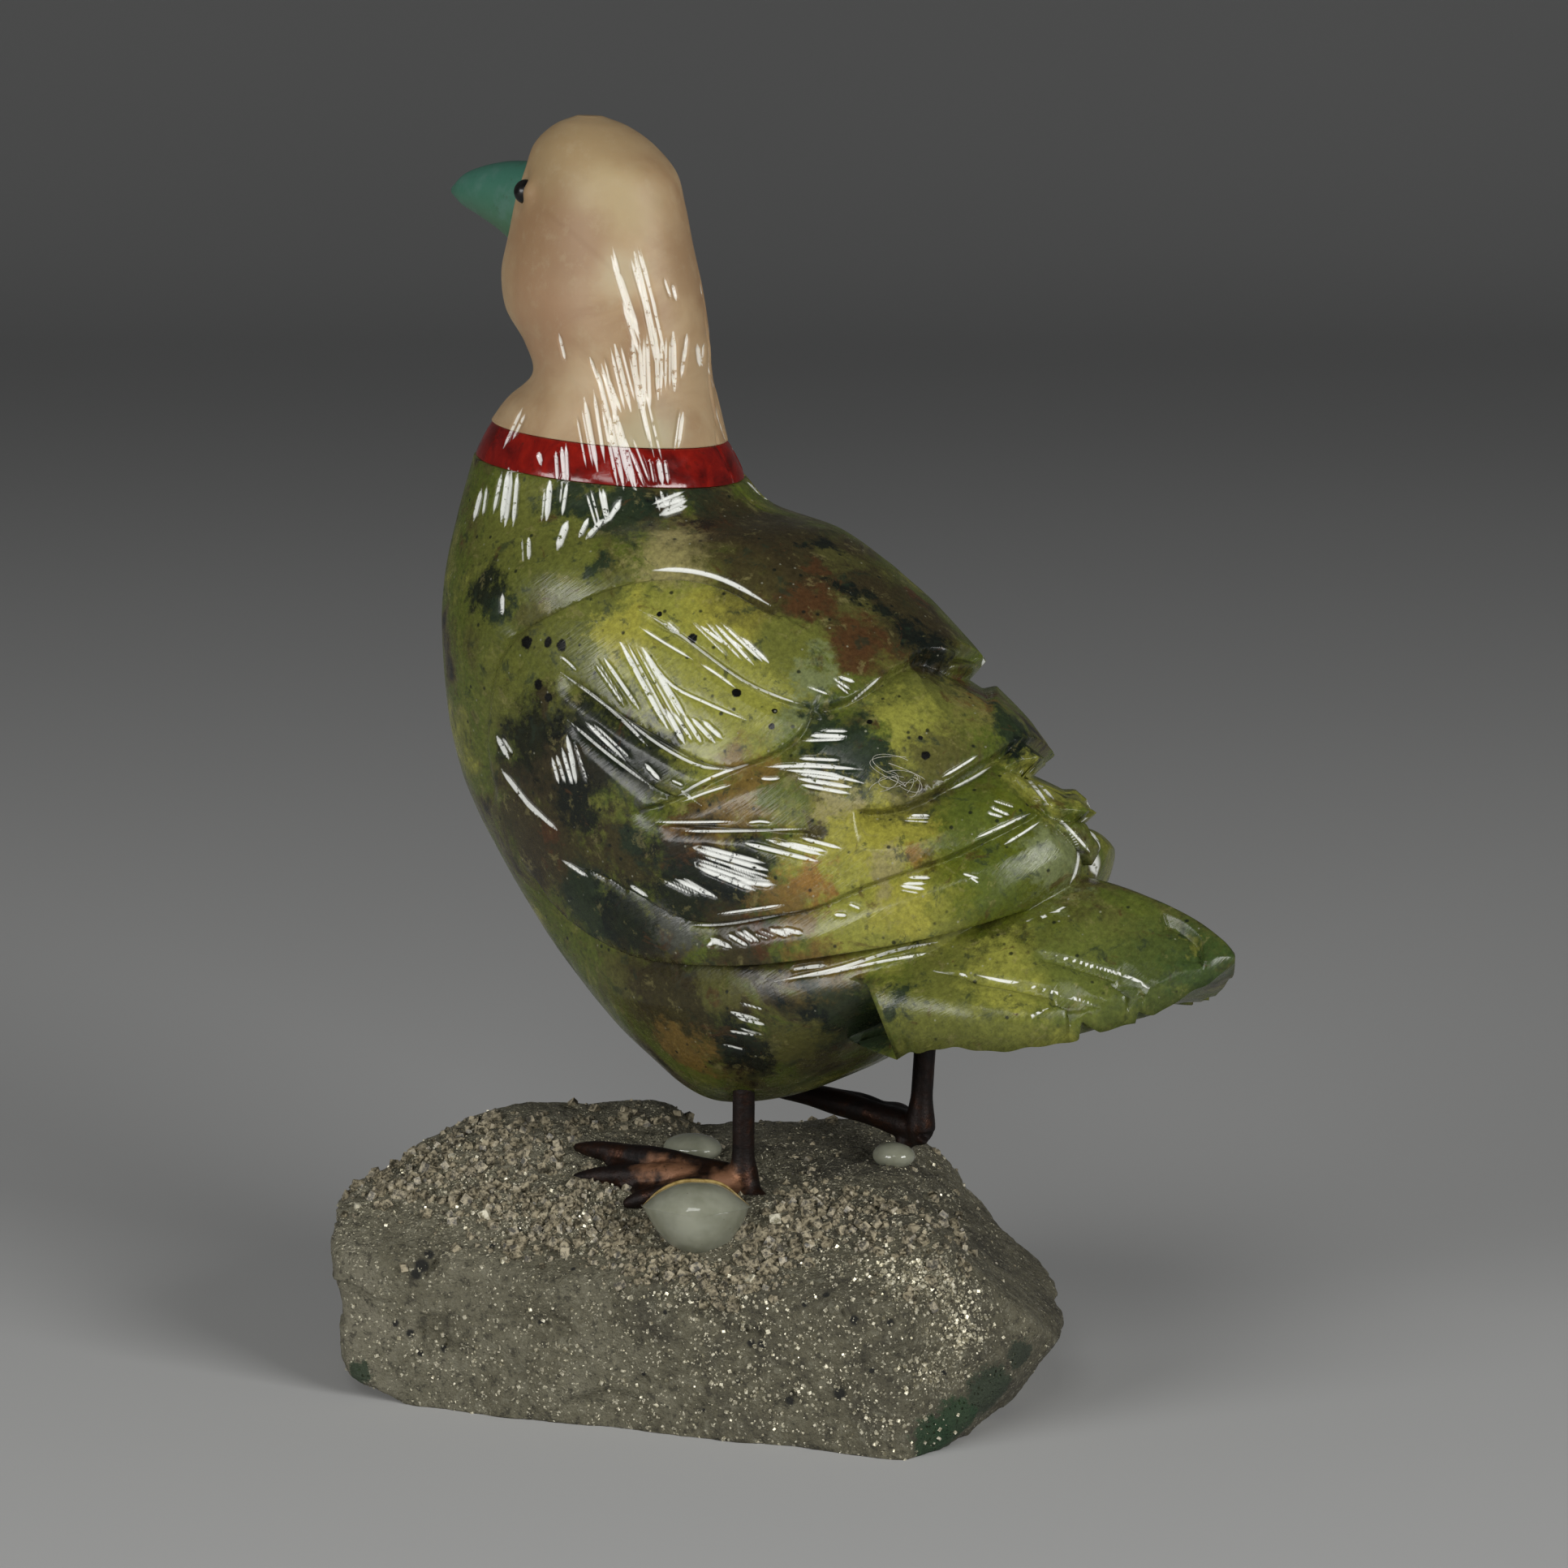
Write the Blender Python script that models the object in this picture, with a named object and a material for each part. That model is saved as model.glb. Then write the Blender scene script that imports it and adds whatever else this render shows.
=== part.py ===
"""A small stone duck carving that stands on a rough rock, modelled at real size in Blender.

The duck faces -X, its left side is -Y and +Z is up. The origin is in the middle of the rock's
flat underside. Sizes here are millimetres, and a mesh is scaled to metres when it is made.

The free forms (body, tail, head, beak, feet) are drawn for a duck 66.5 mm high, and FORM
scales the drawing to the duck's real height. Thicknesses, rods, beads and gaps are real sizes.
"""
import math

import bmesh
import bpy
import numpy as np

for old in list(bpy.data.objects):
    bpy.data.objects.remove(old)

MM = 0.001
GAP = 0.3                       # clearance between two pieces that meet

# The duck, from the lowest point of its belly to its crown, and where it stands
DUCK_HEIGHT = 66.5
FORM = DUCK_HEIGHT / 66.5
FEET_LEVEL = 15.0 * FORM        # height of the feet in the drawing
STAND_X = 2.6
STAND_Y = 2.0

# The rock, in its own frame, whose long axis is turned from the duck's
ROCK_LENGTH = 49.0
ROCK_WIDTH = 35.3
ROCK_HEIGHT = 16.8
ROCK_TURN = math.radians(35.0)
FEET_UNDER_ROCK_TOP = 1.8       # the top slopes, so the feet stand lower than its highest point

# Collar disc between the neck and the body
COLLAR_THICK = 2.4
COLLAR_HALF_LENGTH = 9.6
COLLAR_HALF_WIDTH = 8.5
COLLAR_TOP_SHARE = 0.87         # its top edge over its bottom edge
COLLAR_TILT = math.tan(math.radians(5.0))  # its front edge stands higher
COLLAR_X = -11.45 * FORM
COLLAR_Z = 61.65 * FORM         # middle of its underside

# Head, beak and eyes; heights are over the neck's foot, which stands on the collar
HEAD_TURN = math.radians(10.0)
HEAD_AXIS_X = COLLAR_X - 0.95 * FORM
NECK_FOOT_Z = COLLAR_Z + COLLAR_THICK + GAP
BEAK_LENGTH = 10.0              # with the part let into the head
BEAK_INLET = 0.5                # how deep its root is let into the head
BEAK_SEAT = 5.0 * FORM          # flat face behind the beak, forward of the head's axis
EYE_DIAMETER = 1.7
EYE_INSET = 0.3                 # how far the bead's middle lies under the head's skin
EYE_PLACE = 0.667               # along the head's rings, from the neck's foot to the crown
EYE_ANGLE = math.radians(56.0)  # from straight ahead to each side

# Tail
TAIL_FLATNESS = 0.9             # 1 makes its underside level from side to side
TAIL_LEAN = 2.3 * FORM          # how far its front rim slants back towards its underside

# Cast metal legs and feet
LEG_DIAMETER = 1.5
TOE_DIAMETER = 1.6
WEB_THICK = 0.9

# Dried glue: length, width and height of each bead
GLUE_BEAD = (7.6, 6.0, 4.4)
GLUE_DROP = (3.0, 2.6, 1.8)
GLUE_PATCH = (2.6, 2.6, 3.0)

# Grids the skins are made on, and how many triangles the body and tail keep
ROCK_RINGS = 25
ROCK_SIDES = 30
BODY_RINGS = 150
BODY_SIDES = 176
BODY_TRIANGLES = 4100
TAIL_ACROSS = 57
TAIL_ALONG = 50
TAIL_TRIANGLES = 1100


def spline(rows, t):
    """Catmull-Rom curve through evenly spaced rows of numbers, read at t from 0 to 1."""
    p = np.asarray(rows, float)
    p = np.vstack([2 * p[0] - p[1], p, 2 * p[-1] - p[-2]])
    x = np.clip(np.asarray(t, float), 0.0, 1.0) * (len(p) - 3)
    i = np.minimum(x.astype(int), len(p) - 4)
    f = (x - i)[..., None]
    a, b, c, d = p[i], p[i + 1], p[i + 2], p[i + 3]
    return 0.5 * (2 * b + (c - a) * f + (2 * a - 5 * b + 4 * c - d) * f**2
                  + (3 * b - a - 3 * c + d) * f**3)


def smooth(x):
    """Smooth step from 0 to 1 as x goes from 0 to 1."""
    x = np.clip(x, 0.0, 1.0)
    return x * x * (3 - 2 * x)


def stone(name, color, roughness, metallic=0.0):
    """A plain material with one colour, roughness and metallic value."""
    mat = bpy.data.materials.new(name)
    mat.use_nodes = True
    shader = mat.node_tree.nodes["Principled BSDF"]
    shader.inputs["Base Color"].default_value = (*color, 1.0)
    shader.inputs["Roughness"].default_value = roughness
    shader.inputs["Metallic"].default_value = metallic
    mat.diffuse_color = (*color, 1.0)
    return mat


def add_piece(name, shape, mat):
    """One closed mesh object from points in millimetres, with its faces turned outwards."""
    points, faces = shape
    mesh = bpy.data.meshes.new(name)
    mesh.from_pydata((np.asarray(points) * MM).tolist(), [], faces)
    bm = bmesh.new()
    bm.from_mesh(mesh)
    bmesh.ops.recalc_face_normals(bm, faces=bm.faces)
    bm.to_mesh(mesh)
    bm.free()
    mesh.materials.append(mat)
    mesh.shade_smooth()
    obj = bpy.data.objects.new(name, mesh)
    bpy.context.scene.collection.objects.link(obj)
    return obj


def loft(rings):
    """Points and faces of a skin over rings of points, each end closed by a fan."""
    rings = np.asarray(rings, float)
    m, n, _ = rings.shape
    points = list(rings.reshape(-1, 3))
    faces = []
    for i in range(m - 1):
        for j in range(n):
            k = (j + 1) % n
            faces.append((i * n + j, i * n + k, (i + 1) * n + k, (i + 1) * n + j))
    for i, ring in ((0, rings[0]), (m - 1, rings[-1])):
        points.append(ring.mean(axis=0))
        hub = len(points) - 1
        for j in range(n):
            faces.append((i * n + j, i * n + (j + 1) % n, hub))
    return np.array(points), faces


def ring_grid(rings, sides):
    """u from 0 to 1 along the rings, and v once round each ring."""
    u = np.linspace(0.0, 1.0, rings)
    v = np.arange(sides) / sides * 2 * math.pi
    return np.meshgrid(u, v, indexing="ij")


def tube(path, radii, sides=10):
    """A closed round tube along a path of points, with a radius at each."""
    path = np.asarray(path, float)
    ways = np.gradient(path, axis=0)
    ways /= np.linalg.norm(ways, axis=1, keepdims=True)
    rings = []
    for point, way, radius in zip(path, ways, radii):
        first = np.cross(way, [0.3, 0.9, 0.2])
        first /= np.linalg.norm(first)
        second = np.cross(way, first)
        turn = np.arange(sides)[:, None] / sides * 2 * math.pi
        rings.append(point + radius * (np.cos(turn) * first + np.sin(turn) * second))
    return loft(rings)


def bead(middle, axes, size, rings=8, sides=13):
    """An egg-shaped bead with its full sizes along three directions."""
    u, v = np.meshgrid(np.linspace(0, math.pi, rings + 2)[1:-1],
                       np.arange(sides) / sides * 2 * math.pi, indexing="ij")
    local = np.stack([np.cos(u) + 0 * v, np.sin(u) * np.cos(v), np.sin(u) * np.sin(v)], -1)
    return loft(local * np.asarray(size) / 2 @ np.asarray(axes, float) + np.asarray(middle, float))


def joined(shapes):
    """Several shapes as one list of points and faces."""
    points = []
    faces = []
    start = 0
    for shape_points, shape_faces in shapes:
        points.append(shape_points)
        faces += [tuple(i + start for i in face) for face in shape_faces]
        start += len(shape_points)
    return np.concatenate(points), faces


def collar_underside(x):
    """Height of the collar's underside at x; the collar leans back."""
    return COLLAR_Z - (x - COLLAR_X) * COLLAR_TILT


# Body: ribs from the collar to the tail, each a back point, a front point and a half-width
# (back x, back z, front x, front z, half-width); the first rib fits the collar
RIB_BACK = COLLAR_X + COLLAR_HALF_LENGTH
RIB_FRONT = COLLAR_X - COLLAR_HALF_LENGTH
RIBS = np.array([
    (0.4, 59.1, -22.2, 58.2, 9.9),
    (5.4, 58.0, -22.8, 53.2, 12.4),
    (10.0, 55.5, -22.5, 46.8, 14.2),
    (14.1, 52.4, -20.9, 40.2, 15.0),
    (17.6, 49.0, -16.9, 33.7, 15.2),
    (20.8, 45.6, -11.9, 27.3, 14.6),
    (23.8, 42.7, -6.5, 22.2, 13.4),
    (26.4, 40.5, -0.5, 19.1, 12.0),
    (27.4, 38.2, 8.0, 21.5, 10.2),
    (28.6, 36.8, 17.0, 27.0, 8.0),
]) * FORM
COLLAR_RIB = [RIB_BACK, collar_underside(RIB_BACK) - GAP, RIB_FRONT, collar_underside(RIB_FRONT) - GAP,
              COLLAR_HALF_WIDTH + 0.1]
RIBS = np.vstack([COLLAR_RIB, RIBS])


def egg(u, v):
    """Skin of the body without its carving: u runs from collar to tail, v round from the back."""
    rib = spline(RIBS, u)
    back = rib[..., 0:2]
    front = rib[..., 2:4]
    middle = (back + front) / 2
    reach = (back - front) / 2
    shut = np.sqrt(np.clip(1 - np.clip((u - 0.86) / 0.14, 0, 1) ** 2, 0, 1))
    off_ridge = np.abs(np.angle(np.exp(1j * v)))
    ridge = 1 + 0.06 * smooth((u - 0.3) / 0.3) * np.exp(-off_ridge / 0.35)
    c = np.cos(v) * ridge * shut
    s = np.sin(v) * shut
    x = middle[..., 0] + reach[..., 0] * c
    z = middle[..., 1] + reach[..., 1] * c
    y = -rib[..., 4] * s
    return np.stack([x, y, z], axis=-1)


def skin_normals(p):
    """Outward normals of a grid of points that closes on itself in its second direction."""
    along = np.gradient(p, axis=0)
    across = (np.roll(p, -1, axis=1) - np.roll(p, 1, axis=1)) / 2
    n = np.cross(along, across)
    n /= np.maximum(np.linalg.norm(n, axis=-1, keepdims=True), 1e-9)
    middle = p.mean(axis=1, keepdims=True)
    return -n if np.sum(n * (p - middle)) < 0 else n


# The wings' carving is drawn on a flat stencil that faces the left wing, turned from the
# side and tipped back; the right wing has its mirror image
STENCIL_TURN = math.radians(35.0)
STENCIL_TIP = math.radians(9.0)
STENCIL_X = 3.0
STENCIL_Z = 41.0
STENCIL_MIDDLE_PX = 966         # the stencil's middle on the photograph, across and down
STENCIL_PX_PER_MM = 18.75


def stencil(p):
    """Across and up coordinates of points on the wing's stencil, the right side mirrored."""
    x = p[..., 0] / FORM - STENCIL_X
    y = -np.abs(p[..., 1]) / FORM
    z = p[..., 2] / FORM - STENCIL_Z
    across = x * math.cos(STENCIL_TURN) + y * math.sin(STENCIL_TURN)
    toward = x * math.sin(STENCIL_TURN) - y * math.cos(STENCIL_TURN)
    up = z * math.cos(STENCIL_TIP) - toward * math.sin(STENCIL_TIP)
    return across, up


def px(*pairs):
    """Stencil coordinates in millimetres of pixels on the photograph."""
    return [((x - STENCIL_MIDDLE_PX) / STENCIL_PX_PER_MM, (STENCIL_MIDDLE_PX - y) / STENCIL_PX_PER_MM)
            for x, y in pairs]


# Each wheel cut: its line, depth, width of its steep wall, width of its gentle side, and
# which side of the line (left +1, right -1) is the feather that stands proud
WING_CUTS = [
    # Round shoulder of the wing, and the front edge of the wing on the breast
    (px((600, 800), (645, 768), (700, 738), (765, 713), (830, 705), (895, 718), (960, 755)),
     0.6, 0.7, 3.0, -1),
    (px((610, 1000), (592, 930), (596, 864), (612, 805), (645, 768)), 0.5, 0.8, 2.5, -1),
    # Small feathers of the shoulder, each with its long edge and its end
    (px((790, 755), (850, 793), (915, 838), (960, 862), (1002, 873)), 0.6, 0.5, 1.8, 1),
    (px((1002, 873), (1045, 862), (1090, 836), (1130, 806)), 1.0, 0.4, 3.0, 1),
    (px((688, 828), (740, 868), (811, 912), (867, 942), (905, 948)), 0.6, 0.5, 1.8, 1),
    (px((770, 1006), (832, 984), (902, 950), (950, 930), (985, 905), (1002, 873)), 0.9, 0.4, 2.2, 1),
    (px((701, 884), (750, 925), (800, 968), (832, 984)), 0.5, 0.5, 1.6, 1),
    (px((806, 1018), (870, 1021), (940, 1025), (1000, 1027)), 0.5, 0.5, 1.6, 1),
    # Lower edges of the two rows of long feathers, then the lower edge of the wing
    (px((1050, 1000), (1095, 998), (1140, 982), (1190, 952), (1250, 915)), 1.6, 0.4, 3.6, 1),
    (px((680, 1058), (760, 1092), (848, 1138), (930, 1134), (1000, 1122), (1069, 1092),
        (1165, 1058), (1225, 1028), (1292, 992)), 1.2, 0.4, 3.0, 1),
    (px((640, 1060), (690, 1130), (760, 1175), (830, 1192), (930, 1193), (1020, 1182),
        (1120, 1165), (1200, 1146), (1290, 1118), (1372, 1092)), 1.5, 0.4, 4.0, 1),
]
# Edges and ends of the tail's three feathers
TAIL_CUTS = [
    (px((1180, 1197), (1260, 1211), (1335, 1228), (1400, 1246)), 0.5, 0.4, 1.0, 1),
    (px((1308, 1222), (1314, 1240), (1332, 1262), (1335, 1290)), 1.0, 0.4, 2.2, 1),
    (px((1270, 1170), (1345, 1190), (1425, 1222)), 0.5, 0.4, 1.0, 1),
    (px((1378, 1206), (1384, 1222), (1400, 1240), (1405, 1265)), 1.0, 0.4, 2.0, 1),
    (px((1436, 1128), (1466, 1146), (1484, 1170), (1480, 1190)), 0.5, 0.4, 1.2, 1),
]


def cut_depth(across, up, line, depth, steep, gentle, side):
    """Depth below the skin of one wheel cut: a steep wall on the proud side of its line and
    a gentle slope on the other, fading out where the line starts."""
    path = spline(line, np.linspace(0, 1, 25))
    best = np.full(across.shape, 1e9)
    turn = np.zeros(across.shape)
    along = np.zeros(across.shape)
    for i in range(len(path) - 1):
        leg = path[i + 1] - path[i]
        dx = across - path[i][0]
        dy = up - path[i][1]
        f = np.clip((dx * leg[0] + dy * leg[1]) / (leg @ leg), 0, 1)
        distance = np.hypot(dx - f * leg[0], dy - f * leg[1])
        near = distance < best
        best = np.where(near, distance, best)
        turn = np.where(near, leg[0] * dy - leg[1] * dx, turn)
        along = np.where(near, (i + f) / (len(path) - 1), along)
    fall = np.where(turn * side > 0, best / steep, best / gentle)
    fade = smooth(along / 0.12) * (0.4 + 0.6 * smooth((1 - along) / 0.04))
    return depth * np.clip(1 - fall, 0, 1) ** 1.3 * fade


def carving(p, cuts):
    """How far the wheel cuts reach below the skin at each point, in millimetres."""
    across, up = stencil(p)
    deep = np.zeros(across.shape)
    for line, depth, steep, gentle, side in cuts:
        deep = np.maximum(deep, cut_depth(across, up, line, depth, steep, gentle, side))
    return deep * FORM


def build_body():
    """The egg with the wings' carving cut into it, except near its two ends."""
    u, v = ring_grid(BODY_RINGS, BODY_SIDES)
    base = egg(u, v)
    deep = carving(base, WING_CUTS) * smooth((u - 0.06) / 0.08) * smooth((1.0 - u) / 0.06)
    return loft(base - skin_normals(base) * deep[..., None])


# Tail: a fan with a ridge along its middle (x, z), whose rim rows are (x, half-width, height of
# its underside, thickness); it is thick where it leaves the body and blunt at its tip
TAIL_RIDGE = np.array([(8.0, 34.0), (16.0, 35.9), (23.0, 37.1), (28.0, 36.9), (31.8, 36.2), (35.4, 35.0),
                       (38.2, 33.4)]) * FORM
TAIL_EDGE = np.array([
    (17.6, 11.5, 26.1, 4.6),
    (20.8, 11.5, 26.9, 3.7),
    (24.4, 11.1, 27.3, 2.9),
    (28.1, 9.6, 27.4, 2.3),
    (30.7, 7.2, 28.0, 2.0),
    (33.4, 4.7, 28.7, 2.1),
    (36.2, 2.4, 29.6, 2.2),
    (38.0, 0.6, 30.7, 2.3),
]) * FORM


def build_tail():
    """Upper and lower skins on a grid of s along the tail and t across it."""
    s, t = np.meshgrid(np.linspace(0, 1, TAIL_ALONG), np.linspace(-1, 1, TAIL_ACROSS), indexing="ij")
    ridge = spline(TAIL_RIDGE, s)
    edge = spline(TAIL_EDGE, s)
    out = np.abs(t)
    rim = edge[..., 2] + edge[..., 3]
    x = ridge[..., 0] + (edge[..., 0] - ridge[..., 0]) * out ** (3.0 - 1.6 * s)
    y = -edge[..., 1] * t
    z = ridge[..., 1] + (rim - ridge[..., 1]) * out ** (2.0 - 0.75 * s)
    thick = edge[..., 3] + TAIL_FLATNESS * (z - rim)
    top = np.stack([x, y, z], -1)
    low = np.stack([x + TAIL_LEAN * (1 - s) ** 6, y, z - thick], -1)
    top[..., 2] -= np.minimum(carving(top, TAIL_CUTS), thick * 0.6)
    return loft(np.concatenate([top, low[:, ::-1]], axis=1))


def build_collar():
    """A leaning disc that narrows upwards, with slightly rounded edges."""
    u, v = ring_grid(4, 36)
    share = 1 - (1 - COLLAR_TOP_SHARE) * u - 0.015 * (2 * u - 1) ** 4
    x = COLLAR_X + COLLAR_HALF_LENGTH * share * np.cos(v)
    y = COLLAR_HALF_WIDTH * share * np.sin(v)
    return loft(np.stack([x, y, collar_underside(x) + COLLAR_THICK * u], -1))


# Neck and head: (height over the neck's foot, centre forward of the collar's middle,
# half-length, half-width) of level rings; the first one fits the collar's top
HEAD_RINGS = np.array([
    (1.75, -0.45, 7.5, 6.7),
    (3.75, -1.25, 6.4, 5.8),
    (5.85, -0.85, 6.9, 5.7),
    (8.05, 0.25, 7.7, 5.9),
    (10.25, 0.65, 7.7, 5.8),
    (12.65, 0.75, 7.2, 5.4),
    (15.25, 0.65, 6.5, 5.0),
    (17.45, 0.55, 5.7, 4.5),
    (19.25, 1.15, 4.3, 3.7),
    (20.45, 1.45, 2.6, 2.3),
    (21.05, 1.65, 0.9, 0.8),
]) * FORM
NECK_FOOT = [0.0, 0.0, COLLAR_HALF_LENGTH * COLLAR_TOP_SHARE, COLLAR_HALF_WIDTH * COLLAR_TOP_SHARE]
HEAD_RINGS = np.vstack([NECK_FOOT, HEAD_RINGS])
CHIN_HEIGHT = 11.85 * FORM      # the chin stands forward of the beak's seat below this


def turned(p, angle):
    """Points turned about the head's upright axis, towards the duck's right."""
    c, s = np.cos(angle), np.sin(angle)
    x = p[..., 0] - HEAD_AXIS_X
    return np.stack([HEAD_AXIS_X + c * x + s * p[..., 1], c * p[..., 1] - s * x, p[..., 2]], -1)


def build_head():
    """Level rings that lean with the collar at the neck's foot, cut flat behind the beak."""
    u, v = ring_grid(24, 22)
    row = spline(HEAD_RINGS, u)
    height = row[..., 0]
    x = COLLAR_X - row[..., 1] - row[..., 2] * np.cos(v)
    y = -row[..., 3] * np.sin(v)
    lean = (x - COLLAR_X) * COLLAR_TILT * smooth(1 - height / (6.0 * FORM))
    chin = 4.0 * FORM * smooth((CHIN_HEIGHT - height) / (1.2 * FORM))
    x = np.maximum(x, HEAD_AXIS_X - BEAK_SEAT - chin)
    p = np.stack([x, y, NECK_FOOT_Z + height - lean], -1)
    return loft(turned(p, HEAD_TURN * smooth(height / (8.0 * FORM))))


def eye_middle(side):
    """Centre of an eye bead, just under the head's skin beside the beak."""
    row = spline(HEAD_RINGS, np.array(EYE_PLACE))
    place = np.array([COLLAR_X - row[1] - (row[2] - EYE_INSET) * math.cos(EYE_ANGLE),
                      side * (row[3] - EYE_INSET) * math.sin(EYE_ANGLE), NECK_FOOT_Z + row[0]])
    return turned(place, HEAD_TURN)


# Beak: (top, bottom, half-width) over the neck's foot, in even steps of its length
BEAK_RINGS = np.array([(17.5, 11.3, 2.3), (17.8, 11.7, 2.3), (17.85, 12.3, 2.2), (17.7, 13.1, 2.05),
                       (17.4, 13.8, 1.75), (16.9, 14.4, 1.25), (15.9, 15.2, 0.35)]) * FORM


def build_beak(clear=0.0):
    """Upright rings from the beak's root to its tip; clear grows it all round."""
    u, v = ring_grid(9, 14)
    row = spline(BEAK_RINGS, u)
    half_height = (row[..., 0] - row[..., 1]) / 2
    x = HEAD_AXIS_X - BEAK_SEAT + BEAK_INLET - u * BEAK_LENGTH + clear
    y = (row[..., 2] + clear) * np.sin(v)
    z = NECK_FOOT_Z + row[..., 1] + half_height + (half_height + clear) * np.cos(v)
    return loft(turned(np.stack([x, y, z], -1), HEAD_TURN))


# Feet: toe tips and the web's corners as (forward, outward) from the ankle; the first toe is
# the inner one
TOES = np.array([(13.4, -2.3), (12.1, 1.1), (7.4, 3.4)]) * FORM
WEB = np.array([(0.0, -0.9), (9.0, -1.9), (9.5, -0.6), (9.2, 0.8), (7.8, 2.0), (6.6, 3.0), (0.0, 0.9)]) * FORM
# Legs in the drawing: the left stands on the slope, the right is a step behind, toes up
LEGS = {
    "left_leg": {"top": (4.3, -6.5, 22.6), "ankle": (4.0, -6.2, 15.0), "heel": (5.8, -6.5, 13.7),
                 "yaw": 12, "roll": 24, "pitch": 0, "side": -1},
    "right_leg": {"top": (10.6, 6.2, 26.6), "ankle": (9.9, 6.2, 17.0), "heel": (8.6, 5.8, 15.9),
                  "yaw": 8, "roll": 12, "pitch": 6, "side": 1},
}


def foot_frame(leg):
    """Forward, outward and upward directions of a foot. Yaw turns the toes outwards, roll
    lowers the outer edge and pitch lifts the toes, in degrees; side is -1 for the left leg."""
    yaw, roll, pitch = (math.radians(leg[key]) for key in ("yaw", "roll", "pitch"))
    forward = np.array([-math.cos(yaw), leg["side"] * math.sin(yaw), 0.0])
    outward = np.array([math.sin(yaw), leg["side"] * math.cos(yaw), 0.0])
    up = np.array([0.0, 0.0, 1.0])
    forward, up = (forward * math.cos(pitch) + up * math.sin(pitch),
                   up * math.cos(pitch) - forward * math.sin(pitch))
    outward, up = (outward * math.cos(roll) - up * math.sin(roll),
                   up * math.cos(roll) + outward * math.sin(roll))
    return np.array([forward, outward, up])


def build_leg(leg, clear=0.0):
    """Leg rod, toes, hind toe and web as overlapping closed shapes; clear fattens them all."""
    frame = foot_frame(leg)
    top, ankle, heel = (np.array(leg[key]) * FORM for key in ("top", "ankle", "heel"))
    rod = LEG_DIAMETER / 2
    toe = TOE_DIAMETER / 2
    shapes = [tube([top, (top + ankle) / 2, ankle], np.array([rod, rod, rod * 1.25]) + clear),
              tube([ankle, (ankle + heel) / 2, heel], toe * np.array([1.2, 1.15, 0.75]) + clear)]
    for forward, outward in TOES:
        bends = np.array([(-0.2, 0.0, 0.0), (forward * 0.5, outward * 0.5, toe * 0.15),
                          (forward * 0.88, outward * 0.92, 0.05), (forward, outward, -toe * 0.3)])
        shapes.append(tube(ankle + bends @ frame, toe * np.array([1.2, 1.0, 0.85, 0.35]) + clear))
    corners = []
    for height in (-WEB_THICK / 2 - clear, WEB_THICK / 2 + clear):
        corners += [(forward, outward, height) for forward, outward in WEB]
    n = len(WEB)
    faces = [tuple(range(n - 1, -1, -1)), tuple(range(n, 2 * n))]
    faces += [(i, (i + 1) % n, n + (i + 1) % n, n + i) for i in range(n)]
    shapes.append((ankle + np.array(corners) @ frame, faces))
    return joined(shapes)


def build_socket(leg):
    """The hole in the body that a leg rod stands in, a clearance wider than the rod."""
    top, ankle = (np.array(leg[key]) * FORM for key in ("top", "ankle"))
    far = top + (top - ankle) / np.linalg.norm(top - ankle) * GAP
    return tube([far, (far + ankle) / 2, ankle], [LEG_DIAMETER / 2 + GAP] * 3, 14)


# Rock: flat faces as (azimuth, elevation, distance from its heart) of a rock drawn 49 x 35.3 x
# 16.8, with their edges rounded and a step in its top, then stretched to its real sizes
ROCK_STRETCH = np.array([ROCK_LENGTH / 49.0, ROCK_WIDTH / 35.3, ROCK_HEIGHT / 16.8])
ROCK_HEART = np.array([0.0, 0.0, 8.5]) * ROCK_STRETCH
ROCK_FACES = [
    (-112, 3, 15.1), (-112, 59, 8.8), (180, -4, 24.5), (180, -65, 16.4), (180, 69, 12.2),
    (0, 48.5, 14.0), (0, -3, 25.2), (0, -34, 22.2), (0, -68, 15.3), (-55, 5, 25.0), (-27, -34, 24.0),
    (90, 8, 12.8), (90, 50, 12.9), (140, 10, 21.5), (40, 10, 21.0), (0, -90, 9.6),
]
ROCK_TOP = 6.1                  # height of its nearly level top over its heart
ROCK_STEP = 1.8                 # how much higher the back left part of the top is
ROCK_SHARPNESS = 30.0           # higher makes the edges between its faces crisper


def rock_turned(p):
    """Points of the rock's own frame turned into the model's frame."""
    c, s = math.cos(ROCK_TURN), math.sin(ROCK_TURN)
    return np.stack([c * p[..., 0] - s * p[..., 1], s * p[..., 0] + c * p[..., 1], p[..., 2]], -1)


def rock_skin(way):
    """Distance from the rock's heart to its skin in unit directions: faces joined softly."""
    top_normal = np.array([-0.018, -0.042, 1.0])
    rise = np.maximum(way @ top_normal, 0.02)
    along = way[..., 0] * ROCK_TOP / rise
    back = way[..., 1] * ROCK_TOP / rise
    step = ROCK_STEP * smooth((-0.3 - along) / 1.8) * smooth((back + 4.0) / 8.0)
    total = ((ROCK_TOP + step) / rise) ** -ROCK_SHARPNESS
    for azimuth, elevation, distance in ROCK_FACES:
        a, e = math.radians(azimuth), math.radians(elevation)
        normal = np.array([math.cos(a) * math.cos(e), math.sin(a) * math.cos(e), math.sin(e)])
        total += (np.maximum(way @ normal, 0) / distance) ** ROCK_SHARPNESS
    return total ** (-1 / ROCK_SHARPNESS)


def lumps(p, size, seed, waves=9):
    """Rounded bumps from crossed waves whose directions come from a seed; about -1 to 1."""
    rng = np.random.default_rng(seed)
    value = np.zeros(p.shape[:-1])
    for _ in range(waves):
        way = rng.normal(size=3)
        way /= np.linalg.norm(way)
        value += np.sin((p @ way) * 2 * math.pi / size / rng.uniform(0.7, 1.5) + rng.uniform(0, 6.3))
    return value / math.sqrt(waves)


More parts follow.
